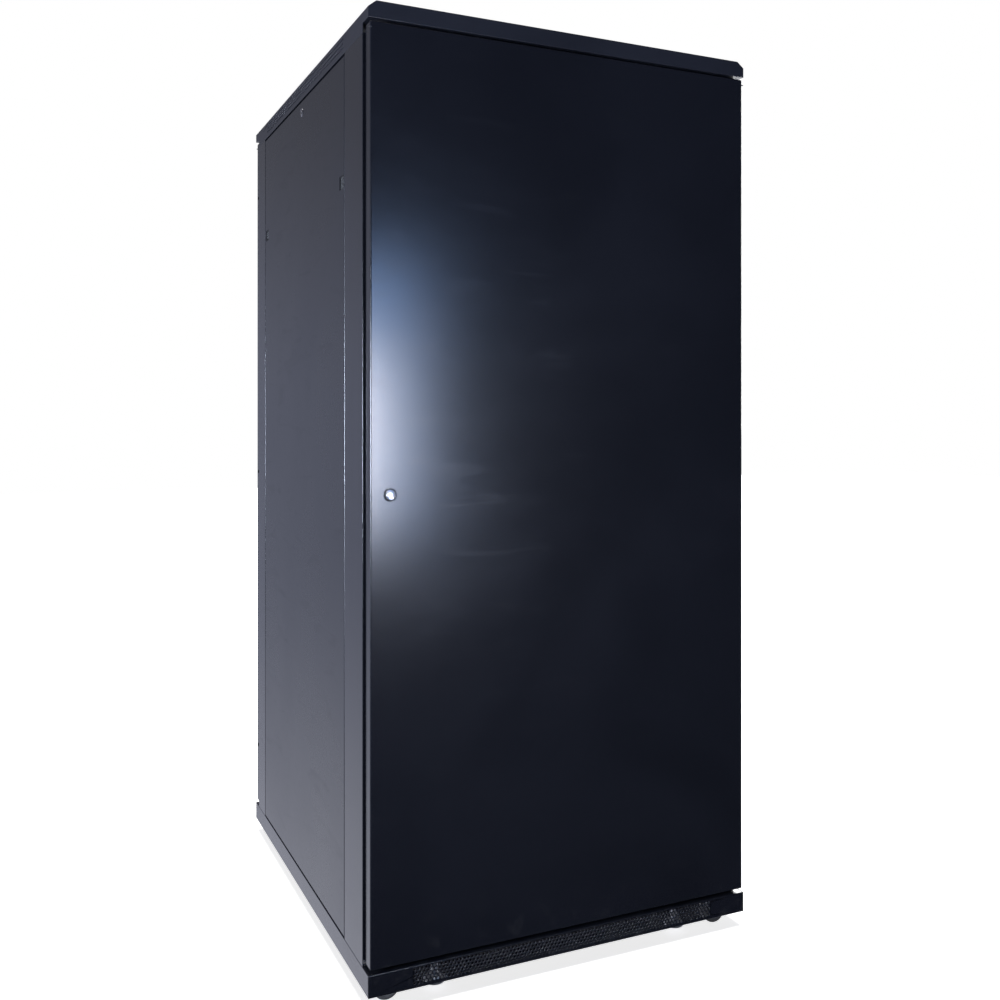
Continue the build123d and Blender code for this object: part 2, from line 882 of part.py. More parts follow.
def fan_rotor(x):
    """Hub, shaft and pitched blades."""
    hub_low = z_fan + fan_motor_height + fan_rotor_gap
    hub_high = z_fan + fan_height - fan_rotor_top_gap
    hub = rod((x, 0, hub_low), z_axis, fan_hub_radius - fan_rotor_gap, hub_high - hub_low)
    rotor = hub + rod((x, 0, z_fan), z_axis, fan_shaft_radius, hub_low - z_fan)
    blade_length = fan_blade_tip - fan_hub_radius + fan_blade_root
    middle = (hub_low + hub_high) / 2
    blade = Pos((fan_blade_tip + fan_hub_radius - 4.0) / 2, 0, 0)
    blade = blade * Rot(fan_blade_pitch, 0, 0) * Box(
        blade_length, fan_blade_chord, fan_blade_thickness)
    for index in range(fan_blade_count):
        turn = 360.0 * index / fan_blade_count
        rotor += Pos(x, 0, middle) * Rot(0, 0, turn) * blade
    return rotor


def fan_guard(x):
    """Finger guard: rings joined by crossed bars, screwed to the fan."""
    base = z_fan + fan_height
    guard = None
    for outer, inner in zip(fan_guard_rings, fan_guard_ring_holes):
        ring = rod((x, 0, base), z_axis, outer, fan_guard_thickness)
        ring -= rod((x, 0, base), z_axis, inner, fan_guard_thickness)
        guard = ring if guard is None else guard + ring
    bar_half = fan_guard_bar_width / 2
    bar = block(
        (-fan_guard_bar_half, -bar_half, 0),
        (fan_guard_bar_half, bar_half, fan_guard_thickness),
    )
    for turn in (45, 135):
        guard += Pos(x, 0, base) * Rot(0, 0, turn) * bar
    return guard


# ---- doors, drawn at the rear and turned half round for the front
def door_shell(face):
    """Door tray: its face, four returns, and lips on all but the hinge side."""
    outer = block((-door_half, door_back, z_door_low), (door_half, half_depth, z_door_high))
    hollow = block(
        (-door_half + skin_sheet, door_back, z_door_low + skin_sheet),
        (door_half - skin_sheet, half_depth, z_door_high - skin_sheet),
    )
    lip_end = door_back + skin_sheet
    shell = (outer - hollow) + face
    shell += block(
        (door_half - door_lip, door_back, z_door_low), (door_half, lip_end, z_door_high))
    shell += block(
        (-door_half, door_back, z_door_low), (door_half, lip_end, z_door_low + door_lip))
    shell += block(
        (-door_half, door_back, z_door_high - door_lip), (door_half, lip_end, z_door_high))
    for level in hinge_levels():
        shell -= block(
            (-door_half - cut_margin, door_back, level - hinge_notch_gap),
            (-door_half + skin_sheet, half_depth - skin_sheet, level + hinge_arm_thickness + hinge_notch_gap),
        )
    return shell


def hinge_levels():
    """Undersides of the three hinge arms."""
    return [
        z_door_low + hinge_end_distance,
        (z_door_low + z_door_high) / 2,
        z_door_high - hinge_end_distance,
    ]


def door_face(holes):
    """Outer face of a door with its lock hole and any other holes."""
    lock_hole = round_hole(lock_x, lock_z, lock_barrel_radius)
    return pierced_sheet(
        rear_plane(half_depth), (-door_half, z_door_low), (door_half, z_door_high),
        skin_sheet, holes + [lock_hole],
    )


def door_stiffener(x):
    """Hat channel welded up the inside of the rear door."""
    half = stiffener_width / 2
    face = half_depth - skin_sheet
    low = z_door_low + stiffener_end_gap
    high = z_door_high - stiffener_end_gap
    outer = block((x - half, face - stiffener_depth, low), (x + half, face, high))
    hollow = block(
        (x - half + skin_sheet, face - stiffener_depth + skin_sheet, low),
        (x + half - skin_sheet, face, high),
    )
    return outer - hollow


window_half = door_half - window_border_side
window_low = z_door_low + window_border_end
window_high = z_door_high - window_border_end


def glazed_face():
    """Front door face: a window between two slotted borders."""
    holes = [rectangle_wire((-window_half, window_low), (window_half, window_high))]
    count = int((window_high - window_low) / door_slot_pitch)
    first = (window_low + window_high - (count - 1) * door_slot_pitch) / 2
    for column in door_slot_columns:
        for side in (-1, 1):
            for index in range(count):
                x = side * (door_half - column)
                z = first + index * door_slot_pitch
                clear_of_lock = math.hypot(x - lock_x, z - lock_z) > 3 * lock_flange_radius
                if clear_of_lock:
                    holes.append(slot_hole(x, z, door_slot_width, door_slot_length))
    return door_face(holes)


def window_glass():
    """Toughened pane behind the door face."""
    face = half_depth - skin_sheet
    half = window_half + glass_overlap
    return block(
        (-half, face - glass_thickness, window_low - glass_overlap),
        (half, face, window_high + glass_overlap),
    )


def glass_clips():
    """Clips up each side that hold the pane against the face."""
    face = half_depth - skin_sheet
    edge = window_half + glass_overlap
    back = face - glass_thickness
    clips = []
    for index in range(glass_clip_count):
        span = window_high - window_low
        z = window_low + span * (index + 0.5) / glass_clip_count
        low = z - glass_clip_length / 2
        high = z + glass_clip_length / 2
        foot = block((edge, back - glass_clip_thickness, low), (edge + glass_clip_foot, face, high))
        tongue = block((edge - glass_overlap, back - glass_clip_thickness, low), (edge, back, high))
        clips += both_sides(foot + tongue)
    return clips


def hinge_bracket(level):
    """Foot on the post and an arm that reaches out to the pin."""
    half = hinge_arm_width / 2
    arm = block(
        (hinge_x - half, frame_face, level), (hinge_x + half, hinge_y, level + hinge_arm_thickness))
    arm += rod((hinge_x, hinge_y, level), z_axis, half, hinge_arm_thickness)
    foot = block(
        (hinge_x - half, frame_face, level - hinge_foot_height / 2),
        (hinge_x - half + hinge_foot_width, frame_face + frame_sheet,
         level + hinge_foot_height / 2),
    )
    hole = rod((hinge_x, hinge_y, level), z_axis, hinge_pin_radius, hinge_arm_thickness)
    return arm + foot - hole


def hinge_pin(level):
    """Pin riveted in the arm, with a tapered lead at its top."""
    length = hinge_arm_thickness + hinge_pin_reach
    pin = rod((hinge_x, hinge_y, level), z_axis, hinge_pin_radius, length)
    return chamfer(pin.edges().group_by(Axis.Z)[-1], hinge_pin_chamfer)


def hinge_bush(level):
    """Block welded in the door's edge that drops over the pin."""
    half = hinge_bush_size / 2
    low = level + hinge_arm_thickness + loose_play
    bush = block(
        (-door_half + skin_sheet, hinge_y - half, low),
        (hinge_x + half, hinge_y + half, low + hinge_bush_height),
    )
    return bush - rod((hinge_x, hinge_y, low), z_axis, hinge_pin_radius + running_play,
                      hinge_bush_height)


# ---- locks; each is drawn about its own axis, +Z out of the panel, z = 0 on the panel's face
def lock_housing(flange_radius, flange_height, barrel_radius, barrel_length, plug_radius):
    """Flanged barrel with a domed rim and a bore for the plug."""
    barrel = Cylinder(barrel_radius, barrel_length, align=(Align.CENTER, Align.CENTER, Align.MAX))
    flange = Cylinder(flange_radius, flange_height, align=(Align.CENTER, Align.CENTER, Align.MIN))
    flange = chamfer(flange.edges().group_by(Axis.Z)[-1], flange_height * lock_rim_share)
    bore_length = barrel_length + flange_height
    bore = Cylinder(plug_radius + running_play, bore_length,
                    align=(Align.CENTER, Align.CENTER, Align.MIN))
    return barrel + flange - Pos(0, 0, -barrel_length) * bore


def lock_plug(plug_radius, front, back, shank_radius, shank_end):
    """Turning plug with a diamond-shaped key recess and a shank for the cam."""
    plug = Pos(0, 0, back) * Cylinder(
        plug_radius, front - back, align=(Align.CENTER, Align.CENTER, Align.MIN))
    shank = Pos(0, 0, shank_end) * Cylinder(
        shank_radius, back - shank_end, align=(Align.CENTER, Align.CENTER, Align.MIN))
    recess = Rot(0, 0, 45) * Box(plug_radius, plug_radius, 2 * lock_recess_depth)
    slot = Box(plug_radius / 3, plug_radius, 2 * lock_slot_depth)
    return plug + shank - Pos(0, 0, front) * (recess + slot)


def lock_cam(shank_radius, reach, back):
    """Flat cam pointing along local -Y, away from its unlocked rest."""
    half = cam_width / 2
    arm = block((-half, -reach, back), (half, 0, back + cam_thickness))
    arm += rod((0, 0, back), z_axis, half, cam_thickness)
    return arm - rod((0, 0, back), z_axis, shank_radius, cam_thickness)


def lock_nut(barrel_radius, nut_radius, height, thickness):
    """Hexagon nut behind the sheet."""
    nut = extrude(RegularPolygon(nut_radius, 6), amount=-height)
    nut = Pos(0, 0, -thickness) * nut
    return nut - Pos(0, 0, -thickness - height) * Cylinder(
        barrel_radius, height, align=(Align.CENTER, Align.CENTER, Align.MIN))


door_lock_place = Plane(origin=(lock_x, half_depth, lock_z), x_dir=(-1, 0, 0), z_dir=y_axis)
side_lock_place = Plane(
    origin=(half_width, side_lock_y, side_lock_z), x_dir=z_axis, z_dir=x_axis)


def door_lock_pieces():
    """Housing, nut, plug and cam of a door lock at the rear door."""
    place = door_lock_place.location
    cam_back = cam_y - cam_thickness - half_depth
    housing = lock_housing(lock_flange_radius, lock_flange_height, lock_barrel_radius,
                           lock_barrel_length, lock_plug_radius)
    nut = lock_nut(lock_barrel_radius, lock_nut_radius, lock_nut_height, skin_sheet)
    plug = lock_plug(lock_plug_radius, lock_flange_height - lock_plug_sink,
                     -lock_barrel_length - lock_plug_tail,
                     lock_shank_radius, cam_back - lock_shank_tail)
    cam = lock_cam(lock_shank_radius, cam_reach, cam_back)
    return [place * each for each in (housing, nut, plug, cam)]


def side_lock_pieces():
    """Housing, nut, plug and cam of a side-panel lock on the +X side."""
    place = side_lock_place.location
    cam_back = beam_outer + side_cam_play - half_width
    housing = lock_housing(side_lock_flange_radius, side_lock_flange_height,
                           side_lock_barrel_radius, side_lock_barrel_length,
                           side_lock_plug_radius)
    nut = lock_nut(side_lock_barrel_radius, side_lock_barrel_radius + side_lock_nut_rim,
                   side_lock_nut_height, skin_sheet)
    plug = lock_plug(side_lock_plug_radius, side_lock_flange_height - side_lock_plug_sink,
                     -side_lock_barrel_length - side_lock_plug_tail, side_lock_shank_radius,
                     cam_back - lock_shank_tail)
    cam = lock_cam(side_lock_shank_radius, side_cam_reach, cam_back)
    return [place * each for each in (housing, nut, plug, cam)]


def side_keeper():
    """Hooked strip on the top side beam that the side lock's cam turns behind."""
    keeper_x = beam_outer + cam_thickness + 2 * side_cam_play
    half = keeper_length / 2
    web = block((beam_outer, -half, z_skirt - frame_sheet), (keeper_x + skin_sheet, half, z_skirt))
    hook = block(
        (keeper_x, -half, side_lock_z + cam_width), (keeper_x + skin_sheet, half, z_skirt))
    return web + hook


# ---- side panels, drawn on the +X side
def latch_places():
    """Window centre and outward direction of the two slide latches."""
    return [(panel_rear - latch_edge_rear, 1), (panel_front + latch_edge_front, -1)]


latch_x_face = half_width - skin_sheet
latch_x_plate = latch_x_face - latch_plate_thickness
latch_x_bolt = latch_x_plate - latch_bolt_width


def latch_end(direction):
    """Inner face of the panel's return on the side the bolt leaves by."""
    if direction > 0:
        return panel_rear - skin_sheet
    return panel_front + skin_sheet


def side_panel():
    """Lift-off side panel: skin, four returns, latch windows and bolt holes."""
    holes = [round_hole(side_lock_y, side_lock_z, side_lock_barrel_radius)]
    for centre, _ in latch_places():
        holes.append(rectangle_wire(
            (centre - latch_window_width / 2, latch_z - latch_window_height / 2),
            (centre + latch_window_width / 2, latch_z + latch_window_height / 2),
        ))
    skin = pierced_sheet(
        side_plane(latch_x_face), (panel_front, panel_low), (panel_rear, panel_high),
        skin_sheet, holes,
    )
    inner_x = half_width - panel_return
    outer = block((inner_x, panel_front, panel_low), (latch_x_face, panel_rear, panel_high))
    hollow = block(
        (inner_x, panel_front + skin_sheet, panel_low + skin_sheet),
        (latch_x_face, panel_rear - skin_sheet, panel_high - skin_sheet),
    )
    panel = skin + (outer - hollow)
    for _, direction in latch_places():
        wall = latch_end(direction)
        panel -= block(
            (latch_x_bolt - latch_play, min(wall, wall + direction * skin_sheet),
             latch_z - latch_bolt_height / 2 - latch_play),
            (latch_x_plate + loose_play, max(wall, wall + direction * skin_sheet),
             latch_z + latch_bolt_height / 2 + latch_play),
        )
    return panel


def latch_guides():
    """Two strips above and below each latch that it slides between."""
    guides = []
    for centre, direction in latch_places():
        wall = latch_end(direction)
        back = centre - direction * latch_window_width
        for side in (-1, 1):
            near = latch_z + side * (latch_plate_height / 2 + loose_play)
            far = near + side * latch_guide_height
            guides.append(block(
                (latch_x_bolt, min(wall, back), min(near, far)),
                (latch_x_face, max(wall, back), max(near, far)),
            ))
    return guides


def slide_latch(centre, direction):
    """Thumb slide with a ridged face and a bolt, drawn back into the panel."""
    wall = latch_end(direction)
    front = wall - direction * (latch_travel + latch_stop_gap)
    back = front - direction * latch_plate_length
    half = latch_plate_height / 2
    plate = block(
        (latch_x_plate, min(front, back), latch_z - half),
        (latch_x_face - loose_play, max(front, back), latch_z + half),
    )
    for index in range(latch_ridge_count):
        ridge = front - direction * (latch_ridge_start + latch_ridge_pitch * index)
        plate -= block(
            (latch_x_face - loose_play - latch_ridge_depth, ridge - latch_ridge_half,
             latch_z - half + latch_ridge_margin),
            (latch_x_face - loose_play, ridge + latch_ridge_half,
             latch_z + half - latch_ridge_margin),
        )
    tip = wall + direction * (skin_sheet + panel_gap / 4)
    root = back + direction * latch_root_lap
    bolt = block(
        (latch_x_bolt, min(tip, root), latch_z - latch_bolt_height / 2),
        (latch_x_plate, max(tip, root), latch_z + latch_bolt_height / 2),
    )
    return plate + bolt


def earth_stud():
    """Threaded earthing stud with its nut on the rear bottom beam."""
    start = (floor_half_width / 2, floor_half_depth, z_plinth_top + beam_height / 2)
    stud = rod(start, (0, -1, 0), stud_radius, stud_reach)
    nut = extrude(RegularPolygon(stud_nut_radius, 6), amount=stud_nut_height)
    nut = Plane(origin=start, z_dir=(0, -1, 0)).location * nut
    return stud + nut


# ---- everything, by name
nodes = {
    "plinth_rear": [plinth_end()],
    "plinth_sides": both_sides(plinth_side()),
    "corner_gussets": four_corners(corner_gusset()),
    "castor_plates": four_corners(castor_plate()),
    "levelling_feet": four_corners(levelling_foot()),
    "floor_panel": [floor_panel()],
    "corner_posts": corner_posts(),
    "bottom_beams": frame_beams(z_plinth_top, z_rail_low, z_rail_low),
    "top_beams": frame_beams(z_skirt - beam_height, z_lip, z_skirt),
    "front_mounting_rails": both_sides(mounting_rail(front_rail_face, 1)),
    "rear_mounting_rails": both_sides(mounting_rail(rear_rail_face, -1)),
    "top_cover": [top_cover()],
    "fan_tray": [fan_tray()],
    "fan_housings": [fan_housing(-fan_place), fan_housing(fan_place)],
    "fan_guards": [fan_guard(-fan_place), fan_guard(fan_place)],
    "fan_rotor_left": [fan_rotor(-fan_place)],
    "fan_rotor_right": [fan_rotor(fan_place)],
    "earth_stud": [earth_stud()],
}
nodes["plinth_front"] = [front_of(nodes["plinth_rear"][0])]

rails = [depth_rail(level) for level in depth_rail_levels()]
nodes["depth_rails"] = rails + [left_of(each) for each in rails]

brackets = []
for level in depth_rail_levels():
    brackets.append(rail_bracket(front_rail_face, 1, level))
    brackets.append(rail_bracket(rear_rail_face, -1, level))
nodes["rail_brackets"] = brackets + [left_of(each) for each in brackets]
screws = bracket_screws()
nodes["bracket_screws"] = screws + [left_of(each) for each in screws]

for name, x_side, y_side in (
    ("rear_right", 1, 1), ("rear_left", -1, 1), ("front_right", 1, -1), ("front_left", -1, -1),
):
    turn = 0 if x_side > 0 else 180
    place = Pos(x_side * castor_x, y_side * castor_y, 0) * Rot(0, 0, turn)
    place = place * Pos(-castor_x, -castor_y, 0)
    nodes["castor_fork_" + name] = [place * castor_fork(), place * castor_axle()]
    nodes["castor_wheel_" + name] = [place * castor_wheel()]

roof_under = z_top - skin_sheet
floor_over = z_plinth_top + skin_sheet
cover_slide = entry_length
nodes["cable_cover_guides"] = (
    both_sides(entry_guide(roof_under, -1, roof_entry_low - cover_slide - entry_overlap,
                           roof_entry_high + entry_overlap))
    + both_sides(entry_guide(floor_over, 1, floor_entry_low - cover_slide - entry_overlap,
                             floor_entry_high + entry_overlap))
)
nodes["roof_cable_cover"] = [entry_cover(
    roof_under, -1, roof_entry_low - cover_slide - entry_overlap,
    roof_entry_high - cover_slide + entry_overlap)]
nodes["floor_cable_cover"] = [entry_cover(
    floor_over, 1, floor_entry_low - cover_slide - entry_overlap,
    floor_entry_high - cover_slide + entry_overlap)]

hinge_levels_list = hinge_levels()
brackets = [hinge_bracket(level) for level in hinge_levels_list]
pins = [hinge_pin(level) for level in hinge_levels_list]
bushes = [hinge_bush(level) for level in hinge_levels_list]
nodes["hinge_brackets"] = brackets + [front_of(each) for each in brackets]
nodes["hinge_pins"] = pins + [front_of(each) for each in pins]
nodes["rear_hinge_bushes"] = bushes
nodes["front_hinge_bushes"] = [front_of(each) for each in bushes]

nodes["rear_door"] = [door_shell(door_face([]))]
nodes["rear_door_stiffeners"] = [door_stiffener(-stiffener_place), door_stiffener(stiffener_place)]
nodes["front_door_frame"] = [front_of(door_shell(glazed_face()))]
nodes["front_door_glass"] = [front_of(window_glass())]
nodes["glass_clips"] = [front_of(each) for each in glass_clips()]

housing, nut, plug, cam = door_lock_pieces()
nodes["rear_lock_housing"] = [housing, nut]
nodes["rear_lock_plug"] = [plug]
nodes["rear_lock_cam"] = [cam]
nodes["front_lock_housing"] = [front_of(housing), front_of(nut)]
nodes["front_lock_plug"] = [front_of(plug)]
nodes["front_lock_cam"] = [front_of(cam)]

housing, nut, plug, cam = side_lock_pieces()
panel = side_panel()
guides = latch_guides()
keeper = side_keeper()
nodes["lock_keepers"] = both_sides(keeper)
for name, place in (("right", lambda shape: shape), ("left", left_of)):
    nodes["side_panel_" + name] = [place(panel)] + [place(each) for each in guides]
    nodes["side_lock_housing_" + name] = [place(housing), place(nut)]
    nodes["side_lock_plug_" + name] = [place(plug), place(cam)]
    for end, (centre, direction) in zip(("rear", "front"), latch_places()):
        nodes["slide_latch_" + name + "_" + end] = [place(slide_latch(centre, direction))]

os.makedirs("parts", exist_ok=True)
for name, pieces in nodes.items():
    solids = []
    for piece in pieces:
        solids += piece.solids()
    export_step(Compound(children=solids), "parts/" + name + ".step")
print(len(nodes), "nodes written")
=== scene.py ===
import json
import math
import bmesh
import bpy
from mathutils import Matrix, Vector

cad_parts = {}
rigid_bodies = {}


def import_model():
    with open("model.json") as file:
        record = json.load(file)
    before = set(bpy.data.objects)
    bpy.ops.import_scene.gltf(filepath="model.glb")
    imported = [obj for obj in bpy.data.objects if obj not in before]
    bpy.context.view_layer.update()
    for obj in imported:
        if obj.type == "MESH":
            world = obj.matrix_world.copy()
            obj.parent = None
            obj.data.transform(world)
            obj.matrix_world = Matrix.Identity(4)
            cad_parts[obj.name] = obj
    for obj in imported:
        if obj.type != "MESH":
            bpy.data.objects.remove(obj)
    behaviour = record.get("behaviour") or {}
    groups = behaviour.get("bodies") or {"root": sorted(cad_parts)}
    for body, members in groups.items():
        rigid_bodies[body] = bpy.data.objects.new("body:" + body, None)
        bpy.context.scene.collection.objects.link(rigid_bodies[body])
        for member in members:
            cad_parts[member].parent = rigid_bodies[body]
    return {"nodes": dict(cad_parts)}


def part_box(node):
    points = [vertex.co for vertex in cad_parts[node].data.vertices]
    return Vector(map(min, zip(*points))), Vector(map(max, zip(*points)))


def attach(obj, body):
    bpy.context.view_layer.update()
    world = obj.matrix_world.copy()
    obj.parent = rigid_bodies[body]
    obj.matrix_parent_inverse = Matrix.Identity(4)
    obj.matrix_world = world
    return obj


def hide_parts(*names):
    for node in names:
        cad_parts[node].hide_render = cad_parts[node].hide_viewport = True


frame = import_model()
scene = bpy.context.scene
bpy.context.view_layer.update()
print("stage: cabinet frame loaded")


# Shader sockets that can be added and multiplied like numbers.
class Wire:
    def __init__(self, graph, socket):
        self.graph = graph
        self.socket = socket

    def __add__(self, other):
        return self.graph.maths("ADD", self, other)

    def __radd__(self, other):
        return self.graph.maths("ADD", other, self)

    def __sub__(self, other):
        return self.graph.maths("SUBTRACT", self, other)

    def __rsub__(self, other):
        return self.graph.maths("SUBTRACT", other, self)

    def __mul__(self, other):
        return self.graph.maths("MULTIPLY", self, other)

    def __rmul__(self, other):
        return self.graph.maths("MULTIPLY", other, self)


class Graph:
    def __init__(self, tree):
        self.tree = tree
        self.tree.nodes.clear()

    def feed(self, socket, value):
        if isinstance(value, Wire):
            self.tree.links.new(value.socket, socket)
        else:
            socket.default_value = value

    def node(self, kind, settings=None, sockets=None):
        made = self.tree.nodes.new(kind)
        for name, value in (settings or {}).items():
            if name == "stops":
                for stop, (position, colour) in zip(made.color_ramp.elements, value):
                    stop.position = position
                    stop.color = colour
            else:
                setattr(made, name, value)
        for name, value in (sockets or {}).items():
            self.feed(made.inputs[name], value)
        return made

    def maths(self, operation, *values):
        made = self.node("ShaderNodeMath", {"operation": operation}, dict(enumerate(values)))
        return Wire(self, made.outputs[0])

    def step(self, value, low, high):
        made = self.node(
            "ShaderNodeMapRange", {"interpolation_type": "SMOOTHSTEP"},
            {"Value": value, "From Min": low, "From Max": high},
        )
        return Wire(self, made.outputs["Result"])

    def place(self):
        return Wire(self, self.node("ShaderNodeTexCoord").outputs["Object"])

    def stretch(self, place, scale):
        made = self.node(
            "ShaderNodeVectorMath", {"operation": "MULTIPLY"}, {0: place, 1: scale})
        return Wire(self, made.outputs["Vector"])

    def noise(self, place, scale, detail=2.0, distortion=0.0):
        made = self.node(
            "ShaderNodeTexNoise", None,
            {"Vector": place, "Scale": scale, "Detail": detail, "Distortion": distortion},
        )
        return Wire(self, made.outputs["Fac"])

    def axis(self, vector, letter):
        made = self.node("ShaderNodeSeparateXYZ", None, {"Vector": vector})
        return Wire(self, made.outputs[letter])

    def facing(self):
        return Wire(self, self.node("ShaderNodeTexCoord").outputs["Normal"])

    def mix(self, mask, first, second):
        made = self.node(
            "ShaderNodeMix", {"data_type": "RGBA"}, {0: mask, 6: first, 7: second})
        return Wire(self, made.outputs[2])

    def bump(self, height, distance, below=None):
        sockets = {"Height": height, "Distance": distance, "Strength": 1.0}
        if below is not None:
            sockets["Normal"] = below
        return Wire(self, self.node("ShaderNodeBump", None, sockets).outputs["Normal"])

    def surface(self, sockets):
        made = self.node("ShaderNodeBsdfPrincipled", None, sockets)
        end = self.node("ShaderNodeOutputMaterial")
        self.tree.links.new(made.outputs[0], end.inputs["Surface"])


def newMaterial(name):
    made = bpy.data.materials.new(name)
    made.use_nodes = True
    return made, Graph(made.node_tree)


def grey(value, tint=(1.0, 1.0, 1.0)):
    return (value * tint[0], value * tint[1], value * tint[2], 1.0)


# Finishes, each with its dictionary of values.
coatPattern = {
    "peelDetail": 2.0, "rippleStretch": (1.0, 1.0, 0.45), "rippleDetail": 1.0,
    "haze": (2.3, 4.0, 0.6), "hazeRange": (0.35, 0.72), "hazeShade": 1.35, "hazeRough": 0.03,
    "wipe": (2.0, 2.0, 9.0), "smear": (3.1, 3.0, 1.0), "smearRange": (0.54, 0.80),
    "grain": (55.0, 5.0), "grainRough": 0.02, "specks": (260.0, 1.0), "speckRange": (0.76, 0.82),
    "upRange": (0.55, 0.95), "dust": (34.0, 6.0), "dustRange": (0.25, 0.9),
    "lowRange": (0.02, 0.22), "scuffs": (30.0, 6.0, 0.8), "scuffRange": (0.55, 0.7),
    "filmShade": 0.16, "filmTint": (1.0, 0.97, 0.92), "filmRough": 0.25, "ior": 1.5,
}


def powderCoat(name, look):
    made, graph = newMaterial(name)
    place = graph.place()
    p = coatPattern
    peel = graph.noise(place, look["peelScale"], p["peelDetail"])
    stretched = graph.stretch(place, p["rippleStretch"])
    ripple = graph.noise(stretched, look["rippleScale"], p["rippleDetail"])
    haze = graph.step(graph.noise(place, *p["haze"]), *p["hazeRange"])
    wiped = graph.stretch(place, p["wipe"])
    smear = graph.step(graph.noise(wiped, *p["smear"]), *p["smearRange"])
    grain = graph.noise(place, *p["grain"])
    specks = graph.step(graph.noise(place, *p["specks"]), *p["speckRange"])
    upward = graph.step(graph.axis(graph.facing(), "Z"), *p["upRange"])
    settled = upward * graph.step(graph.noise(place, *p["dust"]), *p["dustRange"]) * look["dust"]
    low = 1 - graph.step(graph.axis(place, "Z"), *p["lowRange"])
    scuffed = low * graph.step(graph.noise(place, *p["scuffs"]), *p["scuffRange"]) * look["scuffs"]
    film = graph.maths("MAXIMUM", settled, graph.maths("MAXIMUM", scuffed, specks * look["specks"]))
    hazed = grey(look["shade"] * p["hazeShade"], look["tint"])
    paint = graph.mix(haze, grey(look["shade"], look["tint"]), hazed)
    worn = look["roughness"] + haze * p["hazeRough"] + smear * look["smear"]
    waved = graph.bump(ripple, look["rippleHeight"])
    graph.surface({
        "Base Color": graph.mix(film, paint, grey(p["filmShade"], p["filmTint"])),
        "Roughness": worn + (grain - 0.5) * p["grainRough"] + film * p["filmRough"],
        "Normal": graph.bump(peel, look["peelHeight"], waved),
        "IOR": p["ior"],
    })
    return made


metalPattern = {
    "patchDetail": 4.0, "patchRough": 0.08, "brushDetail": 3.0, "worn": (160.0, 5.0, 0.5),
    "wornRange": (0.58, 0.72),
}


def metalFinish(name, look):
    made, graph = newMaterial(name)
    place = graph.place()
    patches = graph.noise(place, look["patchScale"], metalPattern["patchDetail"])
    stretched = graph.stretch(place, look["brush"])
    brushed = graph.noise(stretched, look["brushScale"], metalPattern["brushDetail"])
    worn = graph.step(graph.noise(place, *metalPattern["worn"]), *metalPattern["wornRange"])
    graph.surface({
        "Base Color": graph.mix(patches, look["bright"], look["dull"]),
        "Metallic": 1.0,
        "Roughness": look["roughness"] + patches * metalPattern["patchRough"] + worn * look["wear"],
        "Normal": graph.bump(brushed, look["brushHeight"]),
    })
    return made


plasticPattern = {
    "grainDetail": 3.0, "cloud": (18.0, 4.0), "cloudShade": 1.5, "cloudRough": 0.12,
    "upRange": (0.5, 1.0), "film": (60.0, 5.0), "filmRange": (0.4, 0.75), "filmShade": 0.2,
    "filmTint": (1.0, 0.97, 0.93), "filmRough": 0.2,
}


def plasticFinish(name, look):
    made, graph = newMaterial(name)
    place = graph.place()
    p = plasticPattern
    grain = graph.noise(place, look["grainScale"], p["grainDetail"])
    cloud = graph.noise(place, *p["cloud"])
    upward = graph.step(graph.axis(graph.facing(), "Z"), *p["upRange"])
    film = upward * graph.step(graph.noise(place, *p["film"]), *p["filmRange"]) * look["dust"]
    base = graph.mix(cloud, grey(look["shade"]), grey(look["shade"] * p["cloudShade"]))
    graph.surface({
        "Base Color": graph.mix(film, base, grey(p["filmShade"], p["filmTint"])),
        "Roughness": look["roughness"] + (cloud - 0.5) * p["cloudRough"] + film * p["filmRough"],
        "Normal": graph.bump(grain, look["grainHeight"]),
    })
    return made


glassPattern = {
    "wipe": (1.0, 1.0, 5.0), "smear": (3.0, 6.0, 1.2), "smearRange": (0.52, 0.75),
    "ripple": (2.0, 1.0), "rippleHeight": 0.0006, "roughness": 0.03, "smearRough": 0.05,
    "smearCover": 0.03, "ior": 1.52,
}


def glassFinish(name, look):
    made, graph = newMaterial(name)
    place = graph.place()
    p = glassPattern
    wiped = graph.noise(graph.stretch(place, p["wipe"]), *p["smear"])
    smear = graph.step(wiped, *p["smearRange"])
    ripple = graph.noise(place, *p["ripple"])
    graph.surface({
        "Base Color": graph.mix(smear, look["clear"], look["smeared"]),
        "Roughness": p["roughness"] + smear * p["smearRough"],
        "Alpha": look["cover"] + smear * p["smearCover"],
        "Normal": graph.bump(ripple, p["rippleHeight"]),
        "IOR": p["ior"],
    })
    return made


coat = {
    "shade": 0.0034, "tint": (0.8, 0.92, 1.5), "roughness": 0.196, "peelScale": 430.0,
    "peelHeight": 0.00006, "rippleScale": 2.2, "rippleHeight": 0.0022, "dust": 0.05,
    "scuffs": 0.025, "specks": 0.02, "smear": 0.03,
}
panelLook = dict(coat, smear=0.035, rippleHeight=0.0014, roughness=0.27)
# Painted light: the top cover gets a lighter paint than the frame and doors, standing in for how brightly
# the cover is lit.
coverPaintedLightLook = dict(coat, roughness=0.30, dust=0.07, shade=0.0062)
railLook = dict(coat, roughness=0.42, rippleHeight=0.0, peelHeight=0.00004, dust=0.05)
chromeLook = {
    "bright": grey(0.62, (1.0, 0.99, 1.02)), "dull": grey(0.45), "roughness": 0.12,
    "patchScale": 90.0, "brush": (1.0, 1.0, 1.0), "brushScale": 700.0,
    "brushHeight": 0.000008, "wear": 0.12,
}
zincLook = {
    "bright": grey(0.6, (1.0, 1.0, 1.03)), "dull": grey(0.42, (1.0, 0.99, 0.95)),
    "roughness": 0.3, "patchScale": 45.0, "brush": (1.0, 1.0, 8.0), "brushScale": 300.0,
    "brushHeight": 0.00002, "wear": 0.15,
}
